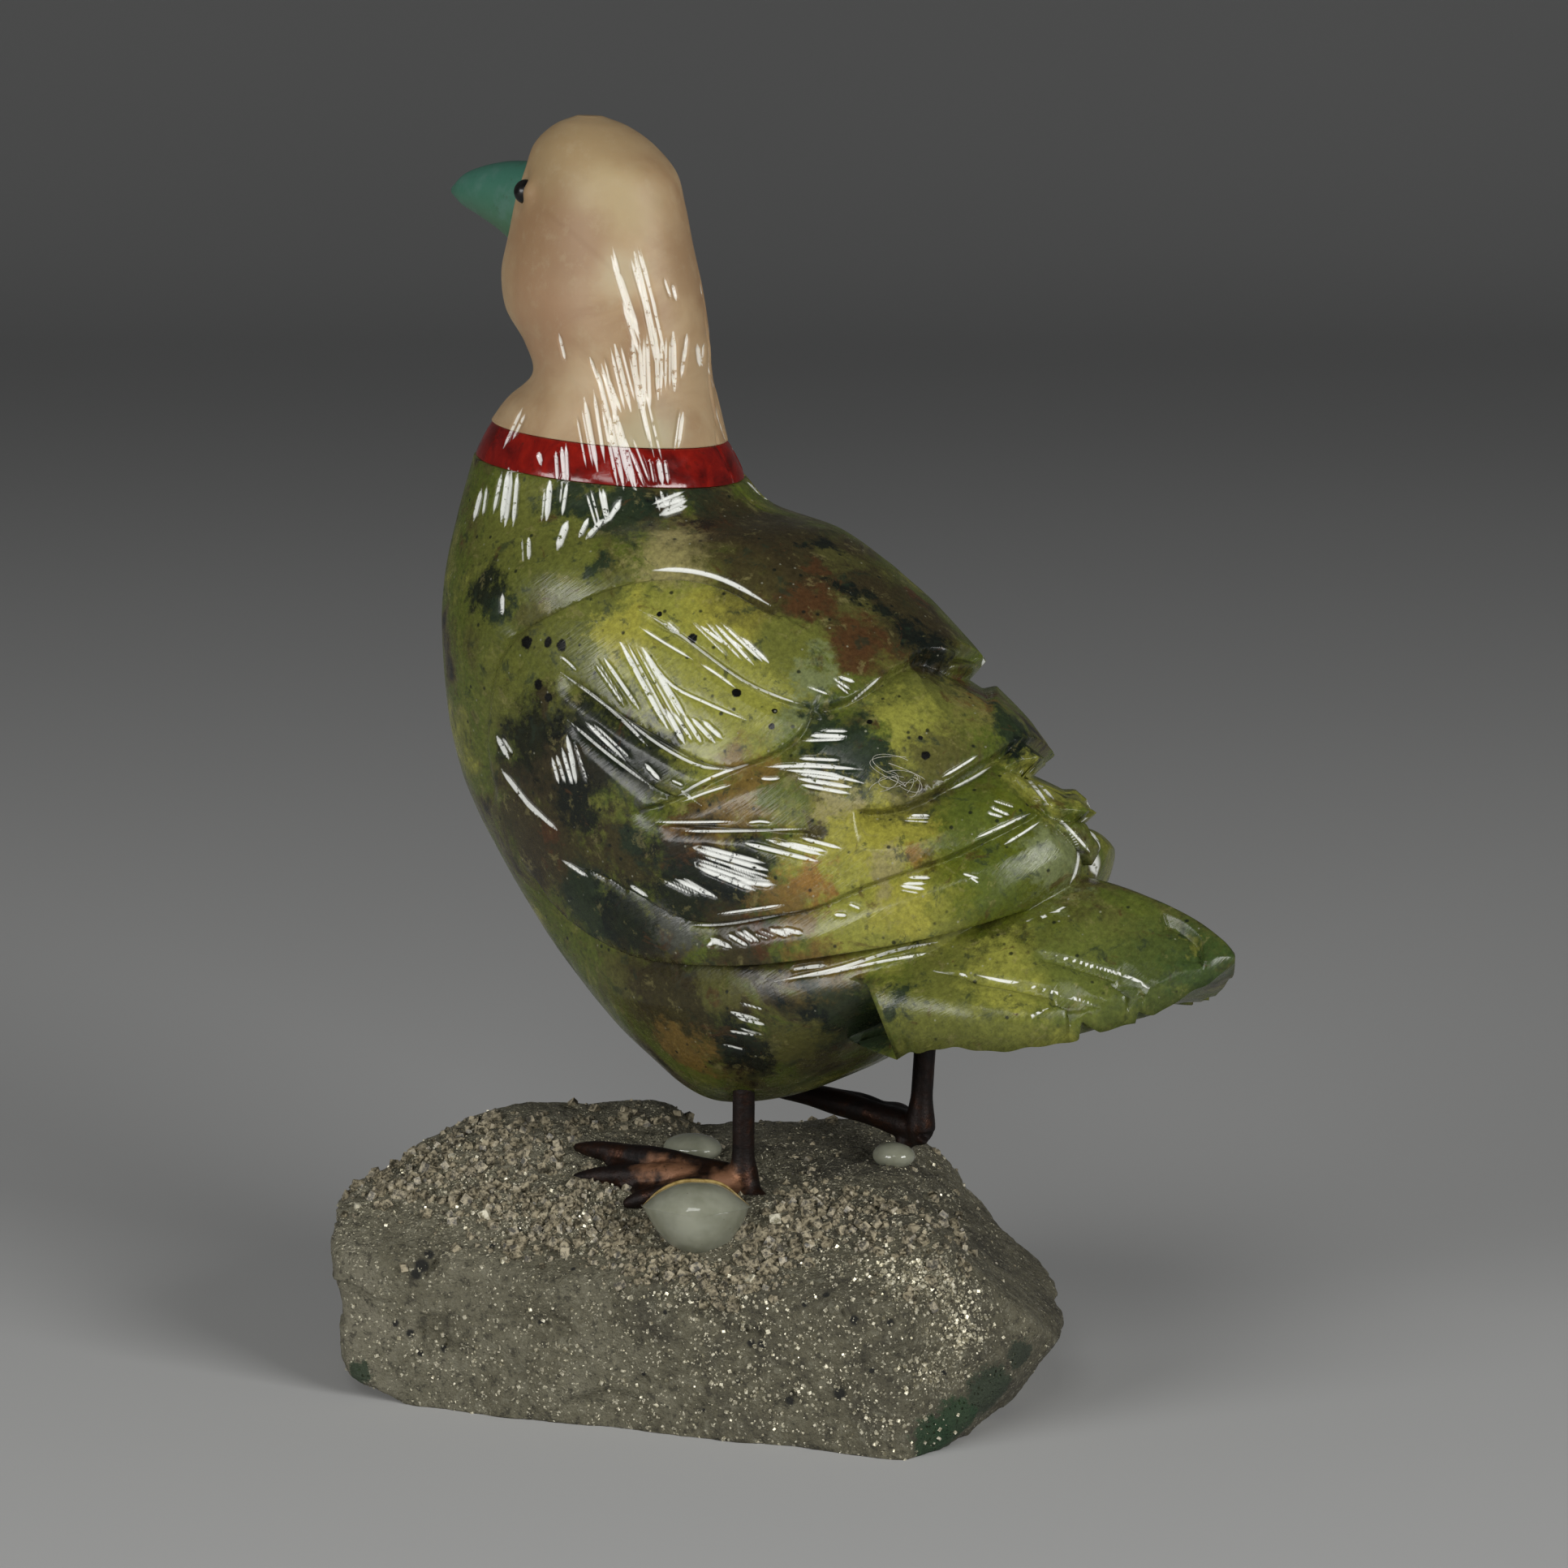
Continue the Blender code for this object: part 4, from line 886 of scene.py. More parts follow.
def leg_shape(leg):
    """A leg rod that swells at the ankle by a smooth step, a hind toe, three toes whose knuckles
    are a sine along them, and the web, a sheet between neighbouring toes that dips by a sine
    across it, most at its front edge."""
    axes = foot_frame(leg)
    top, ankle, heel = (np.array(leg[key]) for key in ("top", "ankle", "heel"))
    t = np.linspace(0, 1, 30)
    rod = LEG_DIAMETER / 2 * (1 + 0.45 * smooth((t - 0.72) / 0.28))
    shapes = [tube(top + (ankle - top) * t[:, None], rod)]
    hind = TOE_DIAMETER / 2 * (1.25 - 0.6 * t + 0.1 * np.sin(t * 9))
    shapes.append(tube(ankle + (heel - ankle) * t[:, None], hind))
    for toe in TOES:
        thick = TOE_DIAMETER / 2 * (1.2 - 0.25 * t - 0.6 * t**6 + 0.06 * np.sin(t * 16))
        shapes.append(tube(ankle + toe_line(toe, t) @ axes, thick))
    for inner, outer in ((0, 1), (1, 2)):
        a, b = np.meshgrid(np.linspace(0, 1, 24), np.linspace(0, 1, 14), indexing="ij")
        reach = a * (0.72 + 0.16 * np.abs(2 * b - 1))
        near, far = toe_line(TOES[inner], reach), toe_line(TOES[outer], reach)
        line = near * (1 - b)[..., None] + far * b[..., None]
        dip = line - np.array([0, 0, 0.3]) * (np.sin(b * math.pi) * a)[..., None]
        half = np.array([0, 0, WEB_THICK / 2])
        sheets = np.concatenate([dip + half, (dip - half)[:, ::-1]], axis=1)
        shapes.append(skin(ankle + sheets @ axes))
    points, quads, triangles = joined(shapes)
    return points + STAND_AT, quads, triangles


# Rock: flat faces as (azimuth, elevation, distance from its heart), edges rounded, with a step
# in its nearly level top
ROCK_HEART = np.array([0.0, 0.0, 8.5])
ROCK_FACES = [
    (-112, 3, 15.1), (-112, 59, 8.8), (180, -4, 24.5), (180, -65, 16.4), (180, 69, 12.2),
    (0, 48.5, 14.0), (0, -3, 25.2), (0, -34, 22.2), (0, -68, 15.3), (-55, 5, 25.0), (-27, -34, 24.0),
    (90, 8, 12.8), (90, 50, 12.9), (140, 10, 21.5), (40, 10, 21.0), (0, -90, 9.6),
]
ROCK_TOP = 6.1
ROCK_STEP = 1.8
ROCK_SHARPNESS = 55.0
PIT_DEPTH = 1.5                 # in half-widths of the pit
HIDDEN_PIT_DEPTH = 0.9          # of the free pits on the side that the camera doesn't see


def rock_turned(p):
    """Points of the rock's own frame turned into the model's frame."""
    c, s = math.cos(ROCK_TURN), math.sin(ROCK_TURN)
    return np.stack([c * p[..., 0] - s * p[..., 1], s * p[..., 0] + c * p[..., 1], p[..., 2]], -1)


def rock_skin(way):
    """Distance from the rock's heart to its skin in unit directions: a high power mean of the
    distances to its flat faces."""
    top_normal = np.array([-0.018, -0.042, 1.0])
    rise = np.maximum(way @ top_normal, 0.02)
    along = way[..., 0] * ROCK_TOP / rise
    back = way[..., 1] * ROCK_TOP / rise
    step = ROCK_STEP * smooth((-0.3 - along) / 1.8) * smooth((back + 4.0) / 8.0)
    total = ((ROCK_TOP + step) / rise) ** -ROCK_SHARPNESS
    for azimuth, elevation, distance in ROCK_FACES:
        a, e = math.radians(azimuth), math.radians(elevation)
        normal = np.array([math.cos(a) * math.cos(e), math.sin(a) * math.cos(e), math.sin(e)])
        total += (np.maximum(way @ normal, 0) / distance) ** ROCK_SHARPNESS
    return total ** (-1 / ROCK_SHARPNESS)


def lumps(p, size, seed, waves=9):
    """Rounded bumps from crossed waves whose directions come from a seed; about -1 to 1."""
    rng = np.random.default_rng(seed)
    value = np.zeros(p.shape[:-1])
    for _ in range(waves):
        way = rng.normal(size=3)
        way /= np.linalg.norm(way)
        pace = 2 * math.pi / size / rng.uniform(0.7, 1.5)
        value += np.sin((p @ way) * pace + rng.uniform(0, 6.3))
    return value / math.sqrt(waves)


def rock_ways():
    """Unit directions on a grid whose poles are on the rock's two ends."""
    u, v = ring_grid(*ROCK_GRID)
    u = 0.01 + u * (math.pi - 0.02)
    way = np.stack([-np.cos(u), np.sin(u) * np.cos(v) * 0.55, np.sin(u) * np.sin(v) * 0.45], -1)
    return way / np.linalg.norm(way, axis=-1, keepdims=True)


# Pits that the camera sees, in the photograph's pixels, and their half-widths in mm
PITS = [
    (513, 1564, 0.55), (520, 1552, 0.7), (528, 1540, 0.5), (480, 1630, 0.35), (502, 1650, 0.42),
    (512, 1672, 0.3), (540, 1660, 0.38), (665, 1637, 0.28), (922, 1650, 0.4), (936, 1652, 0.42),
    (1040, 1718, 0.6), (980, 1725, 0.45), (1045, 1626, 0.48), (1096, 1625, 0.38), (1015, 1602, 0.36),
    (985, 1608, 0.28), (1168, 1690, 0.32), (790, 1700, 0.24), (700, 1560, 0.24), (750, 1520, 0.42),
    (642, 1512, 0.34), (680, 1418, 0.5), (600, 1532, 0.4), (905, 1700, 0.22), (862, 1735, 0.2),
    (1005, 1540, 0.32), (1130, 1600, 0.34), (1075, 1690, 0.26), (580, 1600, 0.18), (820, 1620, 0.2),
]


def placed(p):
    """Points round the rock's heart moved to their place; below the table they are flattened,
    because the rock is ground flat there."""
    p = rock_turned(p + ROCK_HEART)
    return np.stack([p[..., 0], p[..., 1], np.clip(p[..., 2], 0.0, None)], -1)


def rock_surface(way, pits):
    """The rock's rough skin in unit directions: the faces and lumps of the solid, broken
    layers where noise passes a threshold, a sugary upper slope whose every cell has a height of
    its own, and pits (middle, half-width), each as deep as (1 - off²) to the power 0.7."""
    plain = way * rock_skin(way)[..., None]
    rough = 0.24 * lumps(plain, 9.0, 3) + 0.10 * lumps(plain, 4.0, 4)
    sugary = smooth((plain[..., 2] + 0.35 * plain[..., 1] + 1.0) / 4.0)
    sugary *= smooth((6.0 - plain[..., 1]) / 4.0)
    far, number = chips(plain, 1.3, 31)
    _, fine = chips(plain, 0.55, 37)
    rough += (0.12 + 0.88 * sugary) * (0.50 * (number - 0.5) - 0.25 * far + 0.28 * (fine - 0.5))
    rough += 0.22 * clouds(plain, 3.5, 33) + 0.12 * clouds(plain, 0.9, 35)
    layer = clouds(plain * [1.0, 1.0, 2.5], 6.0, 39)
    rough -= 0.25 * smooth((layer - 0.25) / 0.12) * (1 - sugary)
    placed_plain = placed(plain)
    for middle, size in pits:
        off = np.linalg.norm(placed_plain - middle, axis=-1) / size
        rough -= PIT_DEPTH * size * np.clip(1 - off**2, 0, 1) ** 0.7
    hidden = smooth((plain[..., 1] - 2.0) / 4.0)
    pit, chance = chips(plain, 3.2, 41)
    rough -= HIDDEN_PIT_DEPTH * np.clip(1 - pit / 0.22, 0, 1) ** 0.7 * (chance > 0.55) * hidden
    return placed(plain + way * rough[..., None])


def scattered(points, banks, count, seed):
    """Random places on the rock's skin, likelier where banks of crystals lie: each bank is a
    bell curve in the photograph's pixels over faces that look towards the camera. A thin even
    share lies on the upper slopes all round."""
    rng = np.random.default_rng(seed)
    along, round_it = np.gradient(points, axis=0), np.gradient(points, axis=1)
    area = np.linalg.norm(np.cross(along, round_it), axis=-1)
    x, y = on_photo(points)
    weight = np.zeros(area.shape)
    for middle_x, middle_y, wide, high, share in banks:
        weight += share * np.exp(-((x - middle_x) / wide) ** 2 - ((y - middle_y) / high) ** 2)
    towards = skin_normals(points) @ BACK > 0.05
    weight = (weight * towards + 0.02 * (points[..., 2] > 11.0)) * area
    picked = rng.choice(area.size, count, p=(weight / weight.sum()).ravel())
    share = rng.uniform(-0.6, 0.6, (2, count, 1))
    place, along, round_it = (table.reshape(-1, 3)[picked] for table in (points, along, round_it))
    return place + share[0] * along + share[1] * round_it


def cubes(places, sizes, seed):
    """Small crystals half sunk at given places: eight corners for each, sizes in mm, turned by
    random rotations."""
    rng = np.random.default_rng(seed)
    count = len(places)
    axes, _ = np.linalg.qr(rng.normal(size=(count, 3, 3)))
    corners = np.array([(x, y, z) for z in (-1, 1) for y in (-1, 1) for x in (-1, 1)], float)
    size = np.asarray(sizes)[:, None, None] * rng.uniform(0.75, 1.2, (count, 1, 3)) / 2
    points = (corners * size) @ axes + np.asarray(places)[:, None]
    faces = np.array([(0, 2, 3, 1), (4, 5, 7, 6), (0, 1, 5, 4), (2, 6, 7, 3), (0, 4, 6, 2),
                      (1, 3, 7, 5)])
    flip = np.linalg.det(axes) < 0
    quads = np.where(flip[:, None, None], faces[:, ::-1], faces)
    quads = quads + 8 * np.arange(count)[:, None, None]
    return points.reshape(-1, 3), quads.reshape(-1, 4), np.zeros((0, 3), int)


# Banks of pale grains and of bright chips: middle, spread across and down in the photograph's
# pixels, and how thick they lie
GRAIN_BANKS = [
    (490, 1465, 40, 25, 0.6), (560, 1435, 60, 28, 0.7), (640, 1415, 60, 28, 0.6),
    (620, 1480, 60, 25, 1.2), (700, 1500, 45, 25, 1.2), (740, 1455, 30, 25, 0.8),
    (760, 1530, 45, 22, 1.3), (640, 1535, 50, 14, 0.9), (830, 1565, 50, 18, 1.3),
    (905, 1590, 50, 18, 1.0), (950, 1535, 35, 32, 1.2), (1000, 1495, 45, 25, 1.0),
    (1080, 1510, 60, 30, 0.5), (1150, 1550, 40, 40, 0.5), (780, 1383, 45, 12, 0.5),
    (600, 1395, 70, 15, 0.3),
]
CHIP_BANKS = [
    (1150, 1590, 32, 26, 2.2), (1185, 1635, 24, 32, 2.8), (1120, 1570, 40, 20, 1.6),
    (1145, 1690, 26, 18, 1.2), (1060, 1540, 60, 30, 0.6), (1000, 1660, 130, 60, 0.35),
    (900, 1720, 150, 35, 0.25), (1090, 1760, 60, 20, 0.5), (720, 1505, 100, 35, 1.1),
    (560, 1450, 80, 40, 0.5), (860, 1590, 80, 25, 0.6), (620, 1650, 150, 70, 0.12),
]
# Crystals that stand out: pixels and widths in mm
BRIGHT_CRYSTALS = [
    (597, 1492, 0.75), (955, 1499, 0.62), (922, 1573, 0.55), (440, 1480, 0.4), (552, 1420, 0.4),
    (620, 1545, 0.35), (800, 1560, 0.32), (866, 1400, 0.28), (1010, 1470, 0.36), (1160, 1552, 0.42),
]
DULL_CRYSTALS = [
    (938, 1520, 0.95), (928, 1533, 0.9), (914, 1546, 0.85), (950, 1512, 0.75), (1157, 1556, 0.8),
    (560, 1470, 0.6), (700, 1478, 0.55), (490, 1560, 0.5),
]
# Outline of the dried glue under the left foot and of its yellow-brown upper rim
GLUE_OUTLINE = [
    (923, 1485), (923, 1487), (912, 1514), (892, 1538), (863, 1549), (832, 1538), (809, 1516),
    (792, 1487), (792, 1485), (812, 1469), (836, 1458), (862, 1456), (890, 1461),
]
GLUE_RIM = [
    (792, 1486), (812, 1468), (836, 1457), (862, 1455), (891, 1460), (923, 1486),
]
GLUE_MIDDLE = np.array([6.5, -9.5, 13.0])
GLUE_SWELL = 3.0
GLUE_SPOT = (860, 1496)         # the middle of its outline
# The two round pieces of glue in the drawing: piece, node, middle and size
GLUE_BEADS = [
    ("glue_drop", "glue_drop_right", (8.6, 5.0, 15.3), (3.0, 2.6, 1.8)),
    ("glue_patch", "glue_patch_middle", (-3.2, -2.0, 15.6), (4.2, 3.6, 1.9)),
]
LINT_SPOT = (1106, 952)         # where the wisp of lint lies on the wing


def on_plane(pixels, middle):
    """Where the camera's rays through pixels meet the upright plane that faces it at a point."""
    depth = (CAMERA_AT - middle) @ BACK
    offset = (np.asarray(pixels, float) - PHOTO_PIXELS / 2) / (LENS / SENSOR * PHOTO_PIXELS) * depth
    return CAMERA_AT - depth * BACK + offset[..., :1] * RIGHT - offset[..., 1:] * UP


def glue_bowl():
    """A lens of glue: its outline is a closed curve, and it swells 3 mm to the front and to the
    back as the sine of an angle whose cosine, to the power 0.9, shrinks the outline."""
    u, v = ring_grid(*GLUE_GRID)
    closed = GLUE_OUTLINE[-2:] + GLUE_OUTLINE + GLUE_OUTLINE[:3]
    share = (2 + v / (2 * math.pi) * len(GLUE_OUTLINE)) / (len(closed) - 1)
    rim = on_plane(spline(closed, share), GLUE_MIDDLE)
    swell = (0.02 + u * (math.pi - 0.04)) - math.pi / 2
    out = GLUE_SWELL * np.sin(swell)
    middle = on_plane(GLUE_SPOT, GLUE_MIDDLE)
    return middle + (rim - middle) * (np.cos(swell) ** 0.9)[..., None] - out[..., None] * BACK


def lint(spot):
    """A wisp of lint: thin fibres, each a loop of sines about one spot."""
    rng = np.random.default_rng(51)
    t = np.linspace(0, 1, 40)
    shapes = []
    for _ in range(10):
        turns = rng.uniform(0.3, 1.1, 2) * 2 * math.pi
        phase = rng.uniform(0, 6.3, 2)
        across = rng.uniform(0.3, 1.4) * np.sin(t * turns[0] + phase[0]) + rng.normal(0, 0.4)
        up = rng.uniform(0.3, 1.1) * np.sin(t * turns[1] + phase[1]) + rng.normal(0, 0.3)
        up -= 0.2 * across
        off = 0.15 + 0.25 * np.abs(np.sin(t * 5 + phase[0]))
        path = spot + across[:, None] * RIGHT + up[:, None] * UP + off[:, None] * BACK
        shapes.append(tube(path, np.full(40, 0.016), 5))
    return joined(shapes)


class Socket:
    """An output of a shader node. Operators on it add Math nodes; node() adds any other."""

    def __init__(self, tree, output=None):
        self.tree = tree
        self.output = output

    def node(self, kind, settings=None, values=None, output=0):
        """Adds a node: first its settings, a ramp's stops among them, then values or links."""
        made = self.tree.nodes.new("ShaderNode" + kind)
        for name, value in (settings or {}).items():
            if name == "stops":
                ramp = made.color_ramp.elements
                while len(ramp) < len(value):
                    ramp.new(1.0)
                for stop, (place, color) in zip(ramp, value):
                    stop.position = place
                    stop.color = (*color, 1.0)
            else:
                setattr(made, name, value)
        for key, value in (values or {}).items():
            if isinstance(value, Socket):
                self.tree.links.new(value.output, made.inputs[key])
            else:
                made.inputs[key].default_value = value
        return Socket(self.tree, made.outputs[output])

    def math(self, operation, first, second):
        return self.node("Math", {"operation": operation}, {0: first, 1: second})

    def __add__(self, other):
        return self.math("ADD", self, other)

    def __sub__(self, other):
        return self.math("SUBTRACT", self, other)

    def __rsub__(self, other):
        return self.math("SUBTRACT", other, self)

    def __mul__(self, other):
        return self.math("MULTIPLY", self, other)

    def __gt__(self, other):
        return self.math("GREATER_THAN", self, other)

    __radd__ = __add__
    __rmul__ = __mul__

    def rise(self, low, high):
        """Smooth step of this value from 0 at low to 1 at high."""
        return self.node("MapRange", {"interpolation_type": "SMOOTHSTEP"},
                         {"Value": self, "From Min": low, "From Max": high})

    def vector(self, operation, *values, output=0):
        """A Vector Math node of this vector and others."""
        return self.node("VectorMath", {"operation": operation},
                         dict(enumerate((self,) + values)), output)

    def scaled(self, factor):
        return self.node("VectorMath", {"operation": "SCALE"}, {0: self, "Scale": factor})

    def distance(self, point):
        """Distance of this place from a point, in millimetres."""
        return self.vector("DISTANCE", tuple(point), output=1)

    def spot(self, point, radius, inner, outer, ragged=0.0):
        """A mask that is 1 up to inner radii from a point and falls to 0 at outer radii, with
        ragged millimetres added to the distance."""
        return 1 - (self.distance(point) + ragged).rise(radius * inner, radius * outer)

    def axis(self, index):
        """One of the three numbers of this place."""
        return self.node("SeparateXYZ", None, {0: self}, index)

    def part(self, index):
        """One of the three numbers in this colour."""
        return self.node("SeparateColor", None, {0: self}, index)

    def noise(self, size, detail=2.0, roughness=0.5, distortion=0.0, output=0):
        """Noise with lumps of a size in millimetres, read at this vector."""
        return self.node("TexNoise", None, {"Vector": self, "Scale": 1 / size, "Detail": detail,
                                            "Roughness": roughness, "Distortion": distortion}, output)

    def cells(self, size, output=0):
        """Cells of a size in millimetres round scattered points, read at this vector."""
        return self.node("TexVoronoi", None, {"Vector": self, "Scale": 1 / size}, output)

    def paint(self, under, over):
        """The colour over, laid on the colour under as far as this mask says."""
        under, over = (tone if isinstance(tone, Socket) else (*tone, 1.0) for tone in (under, over))
        return self.node("Mix", {"data_type": "RGBA"}, {0: self, 6: under, 7: over}, 2)

    def ramp(self, *stops):
        return self.node("ValToRGB", {"stops": stops}, {"Fac": self})

    def bump(self, height_mm, strength):
        """A normal for this height, whose full range is so many millimetres."""
        return self.node("Bump", None,
                         {"Height": self, "Distance": height_mm * MM, "Strength": strength})


def groove_white_and_glints(place):
    """A mask of the grooves left white, the wheel's frosting with painted glints on it, broken here and
    there.
    """
    white = place.node("Attribute", {"attribute_name": "white"}, None, 2).rise(0.77, 0.87)
    return white * place.noise(0.5, 3.0, 0.7).rise(0.32, 0.44)


def material(name, **plain):
    """A material whose plain values sit on the Principled shader's own sockets. Returns it with
    the surface's place in millimetres and a function that links a socket to the shader."""
    made = bpy.data.materials.new(name)
    made.use_nodes = True
    shader = made.node_tree.nodes["Principled BSDF"]
    for key, value in plain.items():
        shader.inputs[key.replace("_", " ")].default_value = value
    place = Socket(made.node_tree).node("TexCoord", output=3).scaled(1 / MM)

    def link(**inputs):
        for key, socket in inputs.items():
            made.node_tree.links.new(socket.output, shader.inputs[key.replace("_", " ")])

    return made, place, link


# Colours of the body's stone
YELLOW = (0.37, 0.345, 0.058)
CITRON = (0.31, 0.31, 0.058)
MOSS = (0.155, 0.165, 0.035)
FERN = (0.125, 0.14, 0.030)
LEAF = (0.105, 0.135, 0.022)
BOTTLE = (0.052, 0.085, 0.022)
SAGE = (0.20, 0.23, 0.10)
CREAM = (0.33, 0.29, 0.12)
OLIVE = (0.11, 0.105, 0.03)
PINE = (0.022, 0.036, 0.020)
BLACK = (0.008, 0.012, 0.010)
OCHRE = (0.20, 0.125, 0.034)
ORANGE = (0.30, 0.15, 0.035)
RUST = (0.090, 0.042, 0.017)
BROWN = (0.052, 0.040, 0.018)
GREY = (0.085, 0.088, 0.075)
STRAW = (0.25, 0.215, 0.065)
PITCH = (0.005, 0.006, 0.005)
LIME = (0.110, 0.132, 0.012)
LICHEN = (0.14, 0.165, 0.034)
IVY = (0.075, 0.10, 0.024)
# Dark umber of the belly's underside, darkened further as painted shade
UMBER_AND_SHADE = (0.040, 0.030, 0.014)
SPECK_BLACK = (0.006, 0.006, 0.005)
DUST = (0.40, 0.40, 0.32)
# What the wheel leaves white in each stone, with painted glints on it, bare copper, also a
# painted highlight on the left foot, and the ore's pits
SERPENTINE_WHITE_AND_GLINT = (0.82, 0.83, 0.78)
CALCITE_WHITE_AND_GLINT = (0.84, 0.80, 0.70)
JASPER_WHITE_AND_GLINT = (0.85, 0.80, 0.78)
COPPER_WITH_HIGHLIGHT = (0.25, 0.120, 0.062)
PIT_BLACK = (0.008, 0.008, 0.005)
MIDDLE_GREY = (0.5, 0.5, 0.5)   # taken from a noise's colour, it leaves ways of -0.5 to 0.5
# Where the body's colours lie on the side that the camera sees: pixel, radius in mm and colour
PATCHES = [
    (650, 670, 6.0, MOSS), (630, 790, 6.0, FERN), (655, 760, 2.2, OLIVE), (690, 860, 2.0, OLIVE),
    (610, 850, 3.0, MOSS), (740, 800, 6.0, MOSS), (780, 780, 3.0, CITRON), (870, 790, 6.5, CITRON),
    (870, 880, 4.6, CITRON), (765, 772, 2.0, YELLOW), (900, 740, 2.8, YELLOW), (835, 675, 3.0, CREAM),
    (900, 700, 2.0, MOSS), (735, 690, 1.2, PINE), (590, 725, 1.9, BLACK), (604, 752, 1.2, PINE),
    (760, 622, 2.6, PINE), (698, 612, 1.8, PINE), (872, 612, 2.2, PINE), (1000, 690, 7.0, BROWN),
    (1110, 760, 6.0, BROWN), (930, 635, 4.0, BROWN), (1040, 680, 1.6, OLIVE), (1060, 745, 1.8, OLIVE),
    (975, 790, 2.6, MOSS), (986, 660, 0.8, BLACK), (1020, 662, 1.1, BLACK), (1045, 715, 1.3, BLACK),
    (1078, 737, 1.1, BLACK), (1122, 765, 1.6, BLACK), (1168, 800, 1.7, BLACK), (868, 642, 0.9, BLACK),
    (1008, 690, 0.9, RUST), (1128, 724, 0.9, RUST), (1062, 788, 2.4, RUST), (1000, 735, 1.8, RUST),
    (1200, 842, 1.0, RUST), (1185, 860, 2.3, STRAW), (1218, 862, 1.0, OCHRE), (1000, 822, 1.5, SAGE),
    (984, 880, 1.4, SAGE), (1140, 860, 3.6, MOSS), (1115, 895, 3.0, CITRON), (1160, 920, 2.0, OLIVE),
    (1072, 905, 1.5, LEAF), (1250, 890, 2.0, PINE), (1275, 918, 1.3, BLACK), (1025, 890, 1.9, PINE),
    (1045, 935, 2.2, PINE), (1088, 965, 2.0, PINE), (720, 912, 3.6, BLACK), (782, 930, 2.8, BLACK),
    (652, 930, 3.8, PITCH), (776, 966, 1.0, GREY), (690, 972, 2.6, BROWN), (662, 862, 1.0, BROWN),
    (640, 1015, 3.6, BROWN), (690, 1060, 3.6, BROWN), (668, 1040, 1.0, RUST), (705, 990, 2.2, BLACK),
    (720, 1120, 3.0, PINE), (760, 1052, 2.8, BROWN), (775, 1035, 1.4, PINE), (850, 1045, 2.6, BROWN),
    (832, 1032, 1.6, ORANGE), (915, 970, 2.8, OCHRE), (868, 1000, 1.6, OCHRE), (955, 980, 1.2, LEAF),
    (850, 1085, 4.0, BLACK), (915, 1085, 3.2, BLACK), (770, 1140, 2.8, BLACK), (825, 1150, 1.8, GREY),
    (905, 1150, 2.6, BROWN), (935, 1154, 1.2, RUST), (1040, 1060, 4.4, YELLOW),
    (1115, 1035, 3.6, YELLOW), (1050, 1140, 3.8, CITRON), (1150, 1110, 3.6, CITRON),
    (1105, 1120, 2.4, YELLOW), (990, 1012, 1.1, BROWN), (990, 1088, 1.5, ORANGE),
    (965, 1125, 2.0, OCHRE), (1085, 1066, 1.2, CREAM), (1028, 978, 1.2, CREAM),
    (1130, 1034, 0.9, ORANGE), (1147, 1060, 0.9, RUST), (1245, 1050, 5.4, LIME),
    (1188, 1000, 2.2, LEAF), (1232, 1082, 2.4, LEAF), (1312, 1056, 2.6, SAGE), (1290, 965, 2.4, CITRON),
    (1130, 988, 1.5, OLIVE), (1180, 1230, 5.4, MOSS), (1240, 1200, 3.0, CITRON),
    (1102, 1218, 1.3, PINE), (1345, 1190, 4.4, LICHEN), (1440, 1190, 4.4, IVY),
    (1490, 1190, 2.2, BOTTLE), (1465, 1158, 0.6, MOSS), (1250, 1236, 0.4, RUST),
    # Under the belly: umber, darkened further as painted shade
    (760, 1208, 2.8, OLIVE), (820, 1245, 4.6, UMBER_AND_SHADE), (870, 1225, 1.8, OLIVE), (1010, 1212, 2.4, OCHRE),
    (915, 1300, 2.8, BLACK), (1045, 1268, 3.8, PINE), (1000, 1262, 1.4, BLACK), (985, 1295, 2.2, OLIVE),
    (840, 1300, 2.4, OCHRE),
]
# Black specks that catch the eye, with their radii in mm
SPECKS = [
    (1072, 882, 0.2), (1140, 904, 0.18), (1145, 924, 0.32), (642, 788, 0.5), (684, 794, 0.42),
    (668, 790, 0.35), (807, 751, 0.2), (849, 780, 0.36), (655, 842, 0.42), (910, 846, 0.34),
    (668, 862, 0.34), (955, 868, 0.2), (945, 890, 0.22),
]
# The head's clouds in the same way, and the two ends of its vein
CALCITE_CLOUDS = [
    (700, 190, 7.0, (0.34, 0.245, 0.125)), (750, 240, 3.5, (0.40, 0.31, 0.17)),
    (650, 300, 5.0, (0.28, 0.165, 0.085)), (660, 400, 4.5, (0.34, 0.205, 0.115)),
    (700, 300, 3.5, (0.30, 0.185, 0.10)), (860, 320, 3.5, (0.29, 0.185, 0.10)),
    (800, 540, 3.0, (0.38, 0.33, 0.20)), (760, 330, 2.0, (0.44, 0.36, 0.23)),
]
CALCITE_VEIN = [(660, 255), (745, 320)]
# Where the left foot shows bare copper, also a painted highlight on its top; where the ore
# takes painted shade, the duck's shadow on its top and its far face turned from the light; and
# where it is rich in crystals or green
COPPER_AND_HIGHLIGHT_SPOTS = [(800, 1428), (835, 1434), (890, 1450)]
PAINTED_SHADE_ORE = [(1050, 1430, 4.5), (1215, 1530, 2.6), (1110, 1425, 3.0)]
RICH_ORE = [(1175, 1625, 4.5), (1140, 1570, 4.5), (1165, 1690, 3.0), (880, 1580, 3.5)]
GREEN_FILMS = [
    (1222, 1722, 1.9, (0.022, 0.036, 0.018)), (1262, 1672, 1.0, (0.022, 0.032, 0.018)),
    (1185, 1752, 1.9, (0.014, 0.042, 0.014)), (1150, 1778, 1.7, (0.012, 0.040, 0.013)),
    (438, 1698, 0.9, (0.016, 0.034, 0.014)),
]


